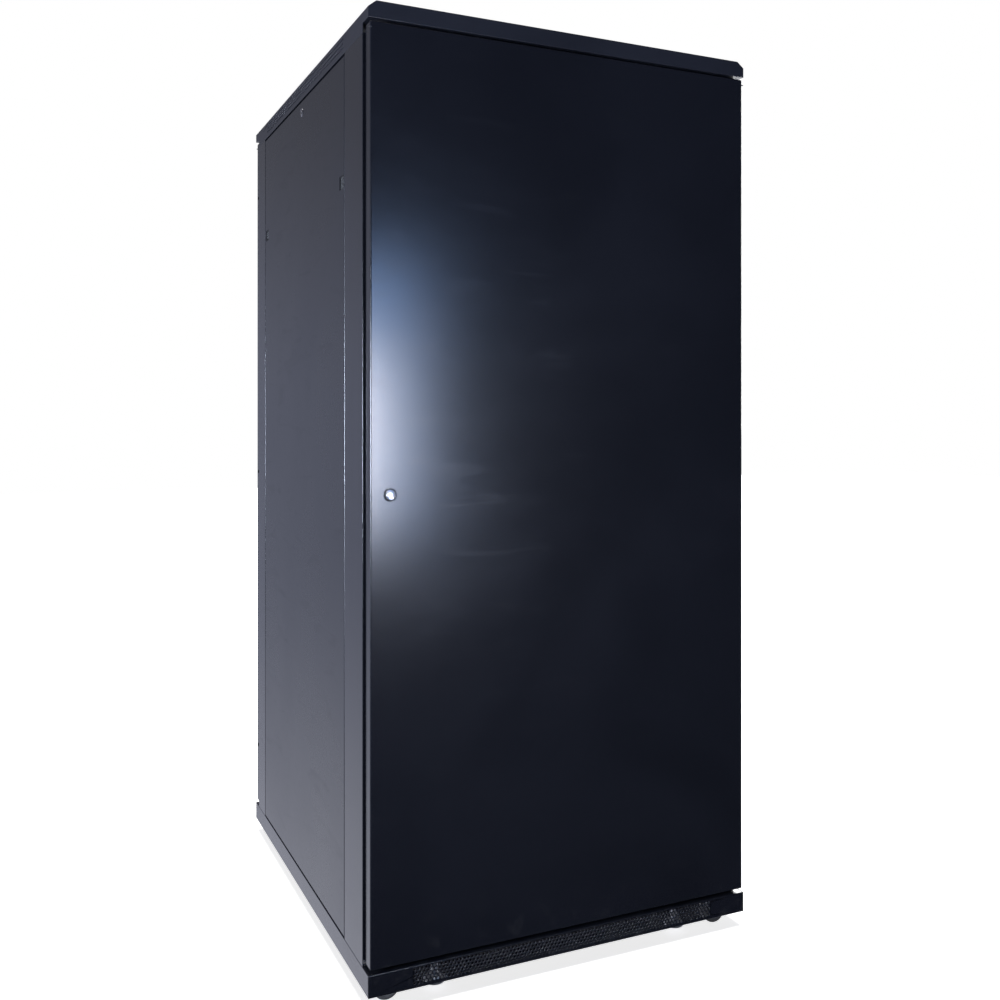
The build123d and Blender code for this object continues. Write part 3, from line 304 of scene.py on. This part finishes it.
fanLook = {"shade": 0.014, "roughness": 0.45, "grainScale": 900.0, "grainHeight": 0.00003, "dust": 0.3}
latchLook = {"shade": 0.010, "roughness": 0.5, "grainScale": 1100.0, "grainHeight": 0.00004, "dust": 0.1}
rubberLook = {
    "shade": 0.022, "roughness": 0.62, "grainScale": 500.0, "grainHeight": 0.00008, "dust": 0.4,
}
glassLook = {"clear": grey(0.02), "smeared": grey(0.05), "cover": 0.48}

finishes = {
    "powder_coat": powderCoat("framePowderCoat", coat),
    "door_coat": powderCoat("rearDoorPowderCoat", coat),
    "panel_coat": powderCoat("sidePanelPowderCoat", panelLook),
    "cover_coat": powderCoat("topCoverPowderCoat", coverPaintedLightLook),
    "rail_coat": powderCoat("railSatinCoat", railLook),
    "tinted_glass": glassFinish("tintedDoorGlass", glassLook),
    "lock_chrome": metalFinish("lockChromePlate", chromeLook),
    "zinc_steel": metalFinish("zincPlatedSteel", zincLook),
    "fan_plastic": plasticFinish("fanMouldedPlastic", fanLook),
    "latch_plastic": plasticFinish("latchMouldedPlastic", latchLook),
    "wheel_rubber": plasticFinish("castorTreadRubber", rubberLook),
}
print("stage: finishes made")


# Finishes and softened edges of the carried-over parts.
softenedEdges = {
    "width": 0.0006, "weld": 0.00001, "angle": math.radians(30), "segments": 2,
    "wide": {"top_cover": 0.0014, "corner_posts": 0.0012, "plinth_rear": 0.0011,
             "plinth_front": 0.0011, "plinth_sides": 0.0011, "front_door_frame": 0.0011},
    "plain": ("bracket_screws", "fan_guards", "front_door_glass"),
}


def softenEdges(part, width):
    weld = part.modifiers.new("closeSeams", "WELD")
    weld.merge_threshold = softenedEdges["weld"]
    bevel = part.modifiers.new("foldEdges", "BEVEL")
    bevel.width = width
    bevel.segments = softenedEdges["segments"]
    bevel.limit_method = "ANGLE"
    bevel.angle_limit = softenedEdges["angle"]
    bevel.harden_normals = True


for nodeName, part in frame["nodes"].items():
    slotName = part.data.materials[0].name.split(".")[0]
    part.data.materials.clear()
    part.data.materials.append(finishes[slotName])
    part["finish"] = slotName
    if nodeName not in softenedEdges["plain"]:
        softenEdges(part, softenedEdges["wide"].get(nodeName, softenedEdges["width"]))
print("stage: carried-over parts finished")


# Mesh helpers shared by the new pieces.
meshing = {
    "sharpAngle": math.radians(40), "same": 1e-6, "foldSteps": 3, "roundness": 0.5,
    "cutterLength": 0.02, "mergeWithin": 0.0000005,
}


def meshObject(name, mesh, slotName):
    mesh.shade_smooth()
    mesh.set_sharp_from_angle(angle=meshing["sharpAngle"])
    made = bpy.data.objects.new(name, mesh)
    scene.collection.objects.link(made)
    mesh.materials.clear()
    mesh.materials.append(finishes[slotName])
    return made


def bakedMesh(obj):
    bpy.context.view_layer.update()
    held = obj.evaluated_get(bpy.context.evaluated_depsgraph_get())
    mesh = bpy.data.meshes.new_from_object(held)
    bpy.data.objects.remove(obj)
    return mesh


def looseObject(build, name="blank"):
    mesh = bpy.data.meshes.new(name)
    build.to_mesh(mesh)
    build.free()
    made = bpy.data.objects.new(name, mesh)
    scene.collection.objects.link(made)
    return made


def joinedMesh(*meshes):
    build = bmesh.new()
    for mesh in meshes:
        build.from_mesh(mesh)
    build.to_mesh(meshes[0])
    build.free()
    return meshes[0]


def boxIn(build, low, high):
    middle = [(a + b) / 2 for a, b in zip(low, high)]
    spread = [abs(b - a) for a, b in zip(low, high)]
    fitted = Matrix.Translation(middle) @ Matrix.Diagonal((*spread, 1.0))
    return bmesh.ops.create_cube(build, size=1.0, matrix=fitted)


def turnTo(direction):
    return Vector((0, 0, 1)).rotation_difference(Vector(direction)).to_matrix().to_4x4()


def cutterBox(low, high):
    build = bmesh.new()
    boxIn(build, low, high)
    return looseObject(build)


def cutterRod(centre, towards, radius, length, sides=48):
    build = bmesh.new()
    turn = Matrix.Translation(centre) @ turnTo(towards)
    bmesh.ops.create_cone(
        build, cap_ends=True, segments=sides, radius1=radius, radius2=radius,
        depth=length, matrix=turn,
    )
    return looseObject(build)


def cutAway(obj, cutters):
    for cutter in cutters:
        cut = obj.modifiers.new("opening", "BOOLEAN")
        cut.object = cutter
        cut.operation = "DIFFERENCE"
        cut.solver = "EXACT"
    mesh = bakedMesh(obj)
    for cutter in cutters:
        bpy.data.objects.remove(cutter)
    return mesh


def foldedTray(tray, toWorld):
    build = bmesh.new()
    (uLow, vLow, back), (uHigh, vHigh, face) = tray["low"], tray["high"]
    lip = tray["lip"]

    def ring(inset, level):
        corners = ((uLow + inset, vLow + inset), (uHigh - inset, vLow + inset),
                   (uHigh - inset, vHigh - inset), (uLow + inset, vHigh - inset))
        return [build.verts.new((u, v, level)) for u, v in corners]

    front = ring(0.0, face)
    rear = ring(0.0, back)
    build.faces.new(front)
    rings = [front, rear]
    if lip:
        rings.append(ring(lip, back))
    for outer, inner in zip(rings, rings[1:]):
        for place in range(4):
            after = (place + 1) % 4
            build.faces.new((outer[place], inner[place], inner[after], outer[after]))
    folds = [edge for edge in build.edges if len(edge.link_faces) == 2]
    if lip:
        same = meshing["same"]
        flatCorners = [e for e in folds if all(abs(v.co.z - back) < same for v in e.verts)
                       and abs(e.verts[0].co.x - e.verts[1].co.x) > same
                       and abs(e.verts[0].co.y - e.verts[1].co.y) > same]
        folds = [e for e in folds if e not in flatCorners]
    bmesh.ops.bevel(
        build, geom=folds, offset=tray["fold"], segments=meshing["foldSteps"],
        profile=meshing["roundness"], affect="EDGES",
    )
    bmesh.ops.transform(build, matrix=toWorld, verts=build.verts)
    bmesh.ops.recalc_face_normals(build, faces=build.faces)
    shell = looseObject(build)
    thicken = shell.modifiers.new("sheet", "SOLIDIFY")
    thicken.thickness = tray["sheet"]
    thicken.offset = -1.0
    return shell


def finishedPiece(name, mesh, slotName, body, nodes):
    made = meshObject(name, mesh, slotName)
    fair = made.modifiers.new("fairNormals", "WEIGHTED_NORMAL")
    fair.keep_sharp = True
    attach(made, body)
    if nodes:
        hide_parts(*nodes)
    return made


# Rear door skin, one folded sheet.
rearDoor = {
    "sheet": 0.0015, "lip": 0.012, "fold": 0.0028, "lockRadius": 0.0096,
    "notchLow": 0.002, "notchHigh": 0.005, "notchOut": 0.002, "notchIn": 0.014,
    "hingeFromEnd": 0.14,
}


def makeRearDoorSkin():
    low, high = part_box("rear_door")
    tray = dict(rearDoor, low=(low.x, low.z, low.y), high=(high.x, high.z, high.y))
    upright = Matrix(((1, 0, 0, 0), (0, 0, 1, 0), (0, 1, 0, 0), (0, 0, 0, 1)))
    shell = foldedTray(tray, upright)
    plugLow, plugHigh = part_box("rear_lock_plug")
    lockAt = ((plugLow.x + plugHigh.x) / 2, high.y, (plugLow.z + plugHigh.z) / 2)
    cutters = [cutterRod(lockAt, (0, 1, 0), rearDoor["lockRadius"], meshing["cutterLength"])]
    for level in hingeArmLevels(low, high):
        cutters.append(cutterBox(
            (low.x - rearDoor["notchOut"], low.y - rearDoor["notchOut"], level - rearDoor["notchLow"]),
            (low.x + rearDoor["notchIn"], high.y - rearDoor["sheet"], level + rearDoor["notchHigh"]),
        ))
    mesh = cutAway(shell, cutters)
    return finishedPiece("rearDoorSkin", mesh, "door_coat", "rear_door", ["rear_door"])


def hingeArmLevels(low, high):
    reach = rearDoor["hingeFromEnd"]
    return [low.z + reach, (low.z + high.z) / 2, high.z - reach]


makeRearDoorSkin()
print("stage: rear door skin made")


# Side panels, folded sheets with latch windows.
sidePanel = {
    "sheet": 0.0015, "lip": 0.0, "fold": 0.0024, "lockRadius": 0.0076,
    "windowWide": 0.030, "windowTall": 0.026, "rearWindow": 0.018, "frontWindow": 0.027,
    "boltTall": 0.018, "boltDeep": 0.0095, "boltFrom": 0.0135, "guideTall": 0.003,
    "guideGap": 0.0003, "guideLong": 0.030, "guideBack": 0.0008, "guideSoften": 0.0003,
    "softenSteps": 2, "cutBeyond": 0.006, "boltSlack": 0.0005,
}


def sidePanelOpenings(side, sign, low, high, outer):
    plugLow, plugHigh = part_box("side_lock_housing_" + side)
    lockAt = (outer, (plugLow.y + plugHigh.y) / 2, (plugLow.z + plugHigh.z) / 2)
    cutters = [cutterRod(lockAt, (1, 0, 0), sidePanel["lockRadius"], meshing["cutterLength"])]
    guides = []
    beyond = sidePanel["cutBeyond"]
    for end, towards, edge in (("rear", 1, high.y), ("front", -1, low.y)):
        slideLow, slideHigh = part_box(f"slide_latch_{side}_{end}")
        level = (slideLow.z + slideHigh.z) / 2
        middle = edge - towards * sidePanel[end + "Window"]
        halfWide = sidePanel["windowWide"] / 2
        halfTall = sidePanel["windowTall"] / 2
        cutters.append(cutterBox(
            (outer - beyond, middle - halfWide, level - halfTall),
            (outer + beyond, middle + halfWide, level + halfTall),
        ))
        deep = abs(outer) - sidePanel["boltFrom"]
        halfBolt = sidePanel["boltTall"] / 2
        cutters.append(cutterBox(
            (sign * (deep - sidePanel["boltSlack"]), edge - beyond, level - halfBolt),
            (sign * (deep + sidePanel["boltDeep"]), edge + beyond, level + halfBolt),
        ))
        inside = edge - towards * sidePanel["sheet"]
        for above in (-1, 1):
            half = (slideHigh.z - slideLow.z) / 2
            near = level + above * (half + sidePanel["guideGap"])
            guides.append((
                (sign * (deep + sidePanel["guideBack"]), middle - towards * sidePanel["guideLong"], near),
                (outer - sign * sidePanel["sheet"], inside, near + above * sidePanel["guideTall"]),
            ))
    return cutters, guides


def addBlock(build, low, high, soften):
    made = boxIn(build, low, high)
    edges = {edge for vert in made["verts"] for edge in vert.link_edges}
    bmesh.ops.bevel(
        build, geom=list(edges), offset=soften, segments=sidePanel["softenSteps"],
        profile=meshing["roundness"], affect="EDGES",
    )


def makeSidePanelSkin(side, sign):
    node = "side_panel_" + side
    low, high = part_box(node)
    outer, inner = (high.x, low.x) if sign > 0 else (low.x, high.x)
    tray = dict(sidePanel, low=(low.y, low.z, abs(inner)), high=(high.y, high.z, abs(outer)))
    sideways = Matrix(((0, 0, sign, 0), (1, 0, 0, 0), (0, 1, 0, 0), (0, 0, 0, 1)))
    shell = foldedTray(tray, sideways)
    cutters, guides = sidePanelOpenings(side, sign, low, high, outer)
    mesh = cutAway(shell, cutters)
    build = bmesh.new()
    build.from_mesh(mesh)
    for guideLow, guideHigh in guides:
        addBlock(build, guideLow, guideHigh, sidePanel["guideSoften"])
    build.to_mesh(mesh)
    build.free()
    return finishedPiece(side + "SidePanelSkin", mesh, "panel_coat", side + "_panel", [node])


makeSidePanelSkin("right", 1)
makeSidePanelSkin("left", -1)
print("stage: side panels made")


# Turned pieces: lock housings, plugs and castor wheels.
def spunMesh(profile, start, along, sides=64):
    build = bmesh.new()
    ring = [build.verts.new((radius, 0.0, level)) for radius, level in profile]
    edges = [build.edges.new(pair) for pair in zip(ring, ring[1:] + ring[:1])]
    bmesh.ops.spin(
        build, geom=ring + edges, cent=(0, 0, 0), axis=(0, 0, 1), dvec=(0, 0, 0),
        angle=math.tau, steps=sides, use_merge=True,
    )
    bmesh.ops.remove_doubles(build, verts=build.verts, dist=meshing["mergeWithin"])
    bmesh.ops.recalc_face_normals(build, faces=build.faces)
    bmesh.ops.transform(build, matrix=Matrix.Translation(start) @ turnTo(along), verts=build.verts)
    mesh = bpy.data.meshes.new("turned")
    build.to_mesh(mesh)
    build.free()
    return mesh


doorLock = {
    "flange": 0.01185, "rise": 0.0025, "bore": 0.00712, "barrel": 0.0094, "deep": 0.022,
    "threadDepth": 0.0005, "threadPitch": 0.00125, "threadFrom": 0.0085, "nut": 0.0135,
    "nutTop": 0.0015, "nutTall": 0.006, "nutEdge": 0.0004, "nutSteps": 2, "threadGap": 0.0004,
    "face": ((0.0, 0.3), (0.0003, 0.42), (0.0013, 0.62), (0.0024, 0.82)),
    "mouth": ((0.0012, 1.0), (0.0006, 0.94), (0.0, 0.7)),
}
panelLock = dict(
    doorLock, flange=0.009, rise=0.0015, bore=0.0056, barrel=0.0074, deep=0.016,
    threadFrom=0.0062, nut=0.0104, nutTall=0.004,
)


def lockProfile(lock):
    flange, rise, bore, barrel = lock["flange"], lock["rise"], lock["bore"], lock["barrel"]
    points = [(barrel, 0.0), (flange, 0.0)]
    points += [(flange - inward, rise * part) for inward, part in lock["face"]]
    points += [(bore + outward, rise * part) for outward, part in lock["mouth"]]
    points += [(bore, -lock["deep"]), (barrel, -lock["deep"])]
    level = -lock["deep"] + lock["threadGap"]
    while level < -lock["threadFrom"]:
        points.append((barrel, level))
        points.append((barrel - lock["threadDepth"], level + lock["threadPitch"] / 2))
        level += lock["threadPitch"]
    points.append((barrel, level))
    return points


def makeLockHousing(name, lock, node, at, outward, body):
    housing = spunMesh(lockProfile(lock), at, outward)
    nutMiddle = Vector(at) - Vector(outward) * (lock["nutTop"] + lock["nutTall"] / 2)
    nut = cutterRod(nutMiddle, outward, lock["nut"], lock["nutTall"], 6)
    corner = nut.modifiers.new("nutEdges", "BEVEL")
    corner.width = lock["nutEdge"]
    corner.segments = lock["nutSteps"]
    hole = cutterRod(nutMiddle, outward, lock["barrel"], lock["nutTall"] * 3)
    whole = joinedMesh(housing, cutAway(nut, [hole]))
    return finishedPiece(name, whole, "lock_chrome", body, [node])


doorPlug = {
    "radius": 0.00695, "edge": 0.0004, "face": 0.0022, "dish": 0.0009, "back": 0.025, "shank": 0.004,
    "recess": 0.0071, "recessDeep": 0.0016, "pin": 0.0013, "pinEdge": 0.0002, "pinTop": 0.0010,
    "pinSides": 24,
}


def makeDoorPlug(name, node, at, outward, deepest, body):
    radius, face = doorPlug["radius"], doorPlug["face"]
    profile = [
        (0.0, face - doorPlug["dish"]), (radius - doorPlug["edge"], face),
        (radius, face - doorPlug["edge"]),
        (radius, -doorPlug["back"]), (doorPlug["shank"], -doorPlug["back"]),
        (doorPlug["shank"], -deepest), (0.0, -deepest),
    ]
    plug = bpy.data.objects.new("plugBlank", spunMesh(profile, at, outward))
    scene.collection.objects.link(plug)
    top = Vector(at) + Vector(outward) * face
    diamond = cutterRod(top, outward, doorPlug["recess"] / math.sqrt(2), doorPlug["recessDeep"] * 2, 4)
    mesh = cutAway(plug, [diamond])
    pinRadius, soft, pinTop = doorPlug["pin"], doorPlug["pinEdge"], doorPlug["pinTop"]
    foot = -doorPlug["recessDeep"] - soft
    pinProfile = [
        (0.0, -pinTop), (pinRadius - soft, -pinTop), (pinRadius, -pinTop - soft),
        (pinRadius, foot), (0.0, foot),
    ]
    pin = spunMesh(pinProfile, top, outward, doorPlug["pinSides"])
    return finishedPiece(name, joinedMesh(mesh, pin), "lock_chrome", body, [node])


outerFaces = {"end": 0.5, "side": 0.4}

for end, sign in (("rear", 1), ("front", -1)):
    plugLow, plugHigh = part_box(end + "_lock_plug")
    face = outerFaces["end"] * sign
    lockAt = ((plugLow.x + plugHigh.x) / 2, face, (plugLow.z + plugHigh.z) / 2)
    deepest = abs(face - (plugLow.y if sign > 0 else plugHigh.y))
    makeLockHousing(end + "DoorLockHousing", doorLock, end + "_lock_housing", lockAt,
                    (0, sign, 0), end + "_door")
    makeDoorPlug(end + "DoorLockPlug", end + "_lock_plug", lockAt, (0, sign, 0), deepest,
                 end + "_lock")

for side, sign in (("right", 1), ("left", -1)):
    ringLow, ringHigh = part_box("side_lock_housing_" + side)
    lockAt = (outerFaces["side"] * sign, (ringLow.y + ringHigh.y) / 2, (ringLow.z + ringHigh.z) / 2)
    makeLockHousing(side + "PanelLockHousing", panelLock, "side_lock_housing_" + side, lockAt,
                    (sign, 0, 0), side + "_panel")
print("stage: locks made")

castorWheel = {
    "radius": 0.025, "half": 0.010, "bore": 0.00305, "boss": 0.006, "web": 0.008,
    "hub": 0.0165, "rim": 0.0185, "seam": 0.00015, "bossEdge": 0.0005, "bossSlope": 0.0006,
    "hubSlope": (0.001, 0.0004), "rimSlope": (0.0004, 0.0003),
    "tread": ((0.0026, 0.0), (0.0011, 0.0008), (0.0003, 0.0028), (0.0, 0.006)), "seamHalf": 0.0006,
}


def makeCastorWheel(corner):
    low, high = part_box("castor_wheel_" + corner)
    at = [(a + b) / 2 for a, b in zip(low, high)]
    radius, half, web = castorWheel["radius"], castorWheel["half"], castorWheel["web"]
    boss, hub, rim = castorWheel["boss"], castorWheel["hub"], castorWheel["rim"]
    edge = castorWheel["bossEdge"]
    hubOut, hubUp = castorWheel["hubSlope"]
    rimOut, rimDown = castorWheel["rimSlope"]
    side = [
        (castorWheel["bore"], half), (boss - edge, half), (boss, half - edge),
        (boss + castorWheel["bossSlope"], web), (hub, web), (hub + hubOut, web + hubUp),
        (rim, half - rimDown), (rim + rimOut, half),
    ]
    side += [(radius - inward, half - down) for inward, down in castorWheel["tread"]]
    side.append((radius, castorWheel["seamHalf"]))
    profile = side + [(radius - castorWheel["seam"], 0.0)]
    profile += [(across, -level) for across, level in reversed(side)]
    mesh = spunMesh(profile, at, (0, 1, 0))
    return finishedPiece(corner + "CastorWheel", mesh, "wheel_rubber", "wheel_" + corner,
                         ["castor_wheel_" + corner])


for corner in ("rear_right", "rear_left", "front_right", "front_left"):
    makeCastorWheel(corner)
print("stage: castor wheels made")


# Rolled hems on the top cover.
coverHem = {"radius": 0.0012, "inset": 0.0015, "roundSteps": 4}


def makeCoverHems():
    low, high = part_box("top_cover")
    radius = coverHem["radius"]
    level = low.z + radius
    for name, sign in (("rear", 1), ("front", -1)):
        lip = bpy.data.curves.new(name + "CoverHem", "CURVE")
        lip.dimensions = "3D"
        lip.bevel_depth = radius
        lip.bevel_resolution = coverHem["roundSteps"]
        lip.use_fill_caps = True
        run = lip.splines.new("POLY")
        run.points.add(1)
        edge = high.y if sign > 0 else low.y
        ends = (low.x + coverHem["inset"], high.x - coverHem["inset"])
        for point, x in zip(run.points, ends):
            point.co = (x, edge - sign * radius, level, 1.0)
        hem = bpy.data.objects.new(name + "CoverHem", lip)
        scene.collection.objects.link(hem)
        mesh = bakedMesh(hem)
        finishedPiece(name + "CoverHem", mesh, "cover_coat", "cabinet_frame", [])


makeCoverHems()
print("stage: cover hems made")


# Floor, lights and camera.
studio = {
    "floorSize": 30.0, "floorShade": 0.82, "floorGlow": 0.8, "backdrop": 1.0,
    "keyAt": (-0.19, 2.98, 0.98), "keyAim": (0.38, 0.5, 1.02), "keyWide": 0.10, "keyTall": 0.62,
    "keyPower": 24.0, "keyColour": (1.0, 0.97, 0.99), "fillAt": (-0.30, 3.0, 1.14), "fillWide": 0.40,
    "fillTall": 1.1, "fillPower": 17.0, "fillColour": (0.30, 0.52, 1.0), "sunPower": 3.5,
    "sunSpread": 24.0, "edgeAt": (3.2, 1.4, 1.0), "edgeAim": (0.4, 0.4, 1.0), "edgeWide": 0.4,
    "frontAt": (-3.4, -3.2, 2.2), "frontAim": (0.0, 0.0, 0.9), "frontSize": 2.6,
    "frontPower": 240.0, "edgeTall": 0.7, "edgePower": 240.0, "edgeColour": (0.7, 0.8, 1.0),
    "cameraAt": (0.9644, 2.4114, 1.0501), "cameraForward": (-0.441, -0.8975, 0.0),
    "lens": 40.21, "sensor": 36.0, "farEnd": 100.0, "shiftX": -0.0595, "shiftY": -0.0806,
    "floorParts": 8, "floorCloud": (1.5, 4.0), "floorCloudShade": 1.03, "floorRough": 0.75,
    # Painted shadow: a near-black floor colour, and the edges of the patch under the cabinet where it is
    # painted.
    "paintedShadeUnder": 0.01, "paintedShadeAcross": (0.374, 0.384), "paintedShadeAlong": (0.434, 0.442),
    "sunHeight": 4,
}
sky = {
    "horizon": grey(0.36, (0.94, 1.0, 1.3)), "zenith": grey(0.17, (1.0, 1.0, 1.15)),
    "below": grey(0.95, (0.94, 0.96, 1.1)), "behind": grey(0.03, (0.7, 0.9, 1.5)),
    "upperRange": (0.0, 0.3), "lowerRange": (-0.5, -0.1), "behindRange": (-0.25, 0.25),
}


def makeFloor():
    build = bmesh.new()
    parts = studio["floorParts"]
    bmesh.ops.create_grid(
        build, x_segments=parts, y_segments=parts, size=studio["floorSize"] / 2)
    floor = looseObject(build, "studioFloor")
    made, graph = newMaterial("paleFloor")
    place = graph.place()
    cloud = graph.noise(place, *studio["floorCloud"])
    aside = graph.maths("ABSOLUTE", graph.axis(place, "X"))
    across = graph.step(aside, *studio["paintedShadeAcross"])
    away = graph.maths("ABSOLUTE", graph.axis(place, "Y"))
    along = graph.step(away, *studio["paintedShadeAlong"])
    # Mask of the floor outside the painted shadow patch under the cabinet.
    clear = graph.maths("MAXIMUM", across, along)
    clouded = grey(studio["floorShade"] * studio["floorCloudShade"])
    pale = graph.mix(cloud, grey(studio["floorShade"]), clouded)
    graph.surface({
        # Painted shadow: the floor under the cabinet is coloured near-black where only shade falls, and
        # its glow is off there.
        "Base Color": graph.mix(clear, grey(studio["paintedShadeUnder"]), pale),
        "Roughness": studio["floorRough"],
        "Emission Color": graph.mix(clear, grey(0.0), grey(studio["floorGlow"])),
        "Emission Strength": 1.0,
    })
    floor.data.materials.append(made)
    floor.visible_glossy = False


def makeWorld():
    world = bpy.data.worlds.new("softStudio")
    world.use_nodes = True
    scene.world = world
    graph = Graph(world.node_tree)
    towards = Wire(graph, graph.node("ShaderNodeTexCoord").outputs["Generated"])
    rise = graph.axis(towards, "Z")
    back = graph.axis(towards, "Y")
    upper = graph.mix(graph.step(rise, *sky["upperRange"]), sky["horizon"], sky["zenith"])
    glow = graph.mix(graph.step(rise, *sky["lowerRange"]), sky["below"], upper)
    around = graph.mix(graph.step(back, *sky["behindRange"]), glow, sky["behind"])
    rays = Wire(graph, graph.node("ShaderNodeLightPath").outputs["Is Camera Ray"])
    seen = graph.mix(rays, around, grey(studio["backdrop"]))
    shell = graph.node("ShaderNodeBackground", None, {"Color": seen, "Strength": 1.0})
    end = graph.node("ShaderNodeOutputWorld")
    graph.tree.links.new(shell.outputs[0], end.inputs["Surface"])


def areaLight(name, at, aim, power, wide, tall, colour=(1.0, 1.0, 1.0)):
    lamp = bpy.data.lights.new(name, "AREA")
    lamp.shape = "RECTANGLE"
    lamp.size = wide
    lamp.size_y = tall
    lamp.energy = power
    lamp.color = colour
    made = bpy.data.objects.new(name, lamp)
    made.location = at
    made.rotation_euler = (Vector(aim) - Vector(at)).to_track_quat("-Z", "Y").to_euler()
    made.visible_camera = False
    scene.collection.objects.link(made)
    return made


def makeOverhead():
    lamp = bpy.data.lights.new("overhead", "SUN")
    lamp.energy = studio["sunPower"]
    lamp.angle = math.radians(studio["sunSpread"])
    made = bpy.data.objects.new("overhead", lamp)
    made.location = (0, 0, studio["sunHeight"])
    scene.collection.objects.link(made)


def makeCamera():
    lensData = bpy.data.cameras.new("cornerView")
    lensData.lens = studio["lens"]
    lensData.sensor_width = studio["sensor"]
    lensData.shift_x = studio["shiftX"]
    lensData.shift_y = studio["shiftY"]
    lensData.clip_end = studio["farEnd"]
    eye = bpy.data.objects.new("cornerView", lensData)
    eye.location = studio["cameraAt"]
    eye.rotation_euler = Vector(studio["cameraForward"]).to_track_quat("-Z", "Y").to_euler()
    scene.collection.objects.link(eye)
    scene.camera = eye


makeFloor()
makeWorld()
areaLight("keyStrip", studio["keyAt"], studio["keyAim"], studio["keyPower"],
          studio["keyWide"], studio["keyTall"], studio["keyColour"])
areaLight("fillStrip", studio["fillAt"], studio["keyAim"], studio["fillPower"],
          studio["fillWide"], studio["fillTall"], studio["fillColour"])
areaLight("edgeStrip", studio["edgeAt"], studio["edgeAim"], studio["edgePower"],
          studio["edgeWide"], studio["edgeTall"], studio["edgeColour"])
areaLight("frontSoft", studio["frontAt"], studio["frontAim"], studio["frontPower"],
          studio["frontSize"], studio["frontSize"])
makeOverhead()
makeCamera()
scene.view_settings.view_transform = "Standard"
lit = bpy.data.collections.new("cabinetOnly")
for piece in scene.objects:
    if piece.type == "MESH" and piece.name != "studioFloor":
        lit.objects.link(piece)
for lampName in ("keyStrip", "fillStrip", "edgeStrip", "frontSoft"):
    scene.objects[lampName].light_linking.receiver_collection = lit
print("stage: studio made")
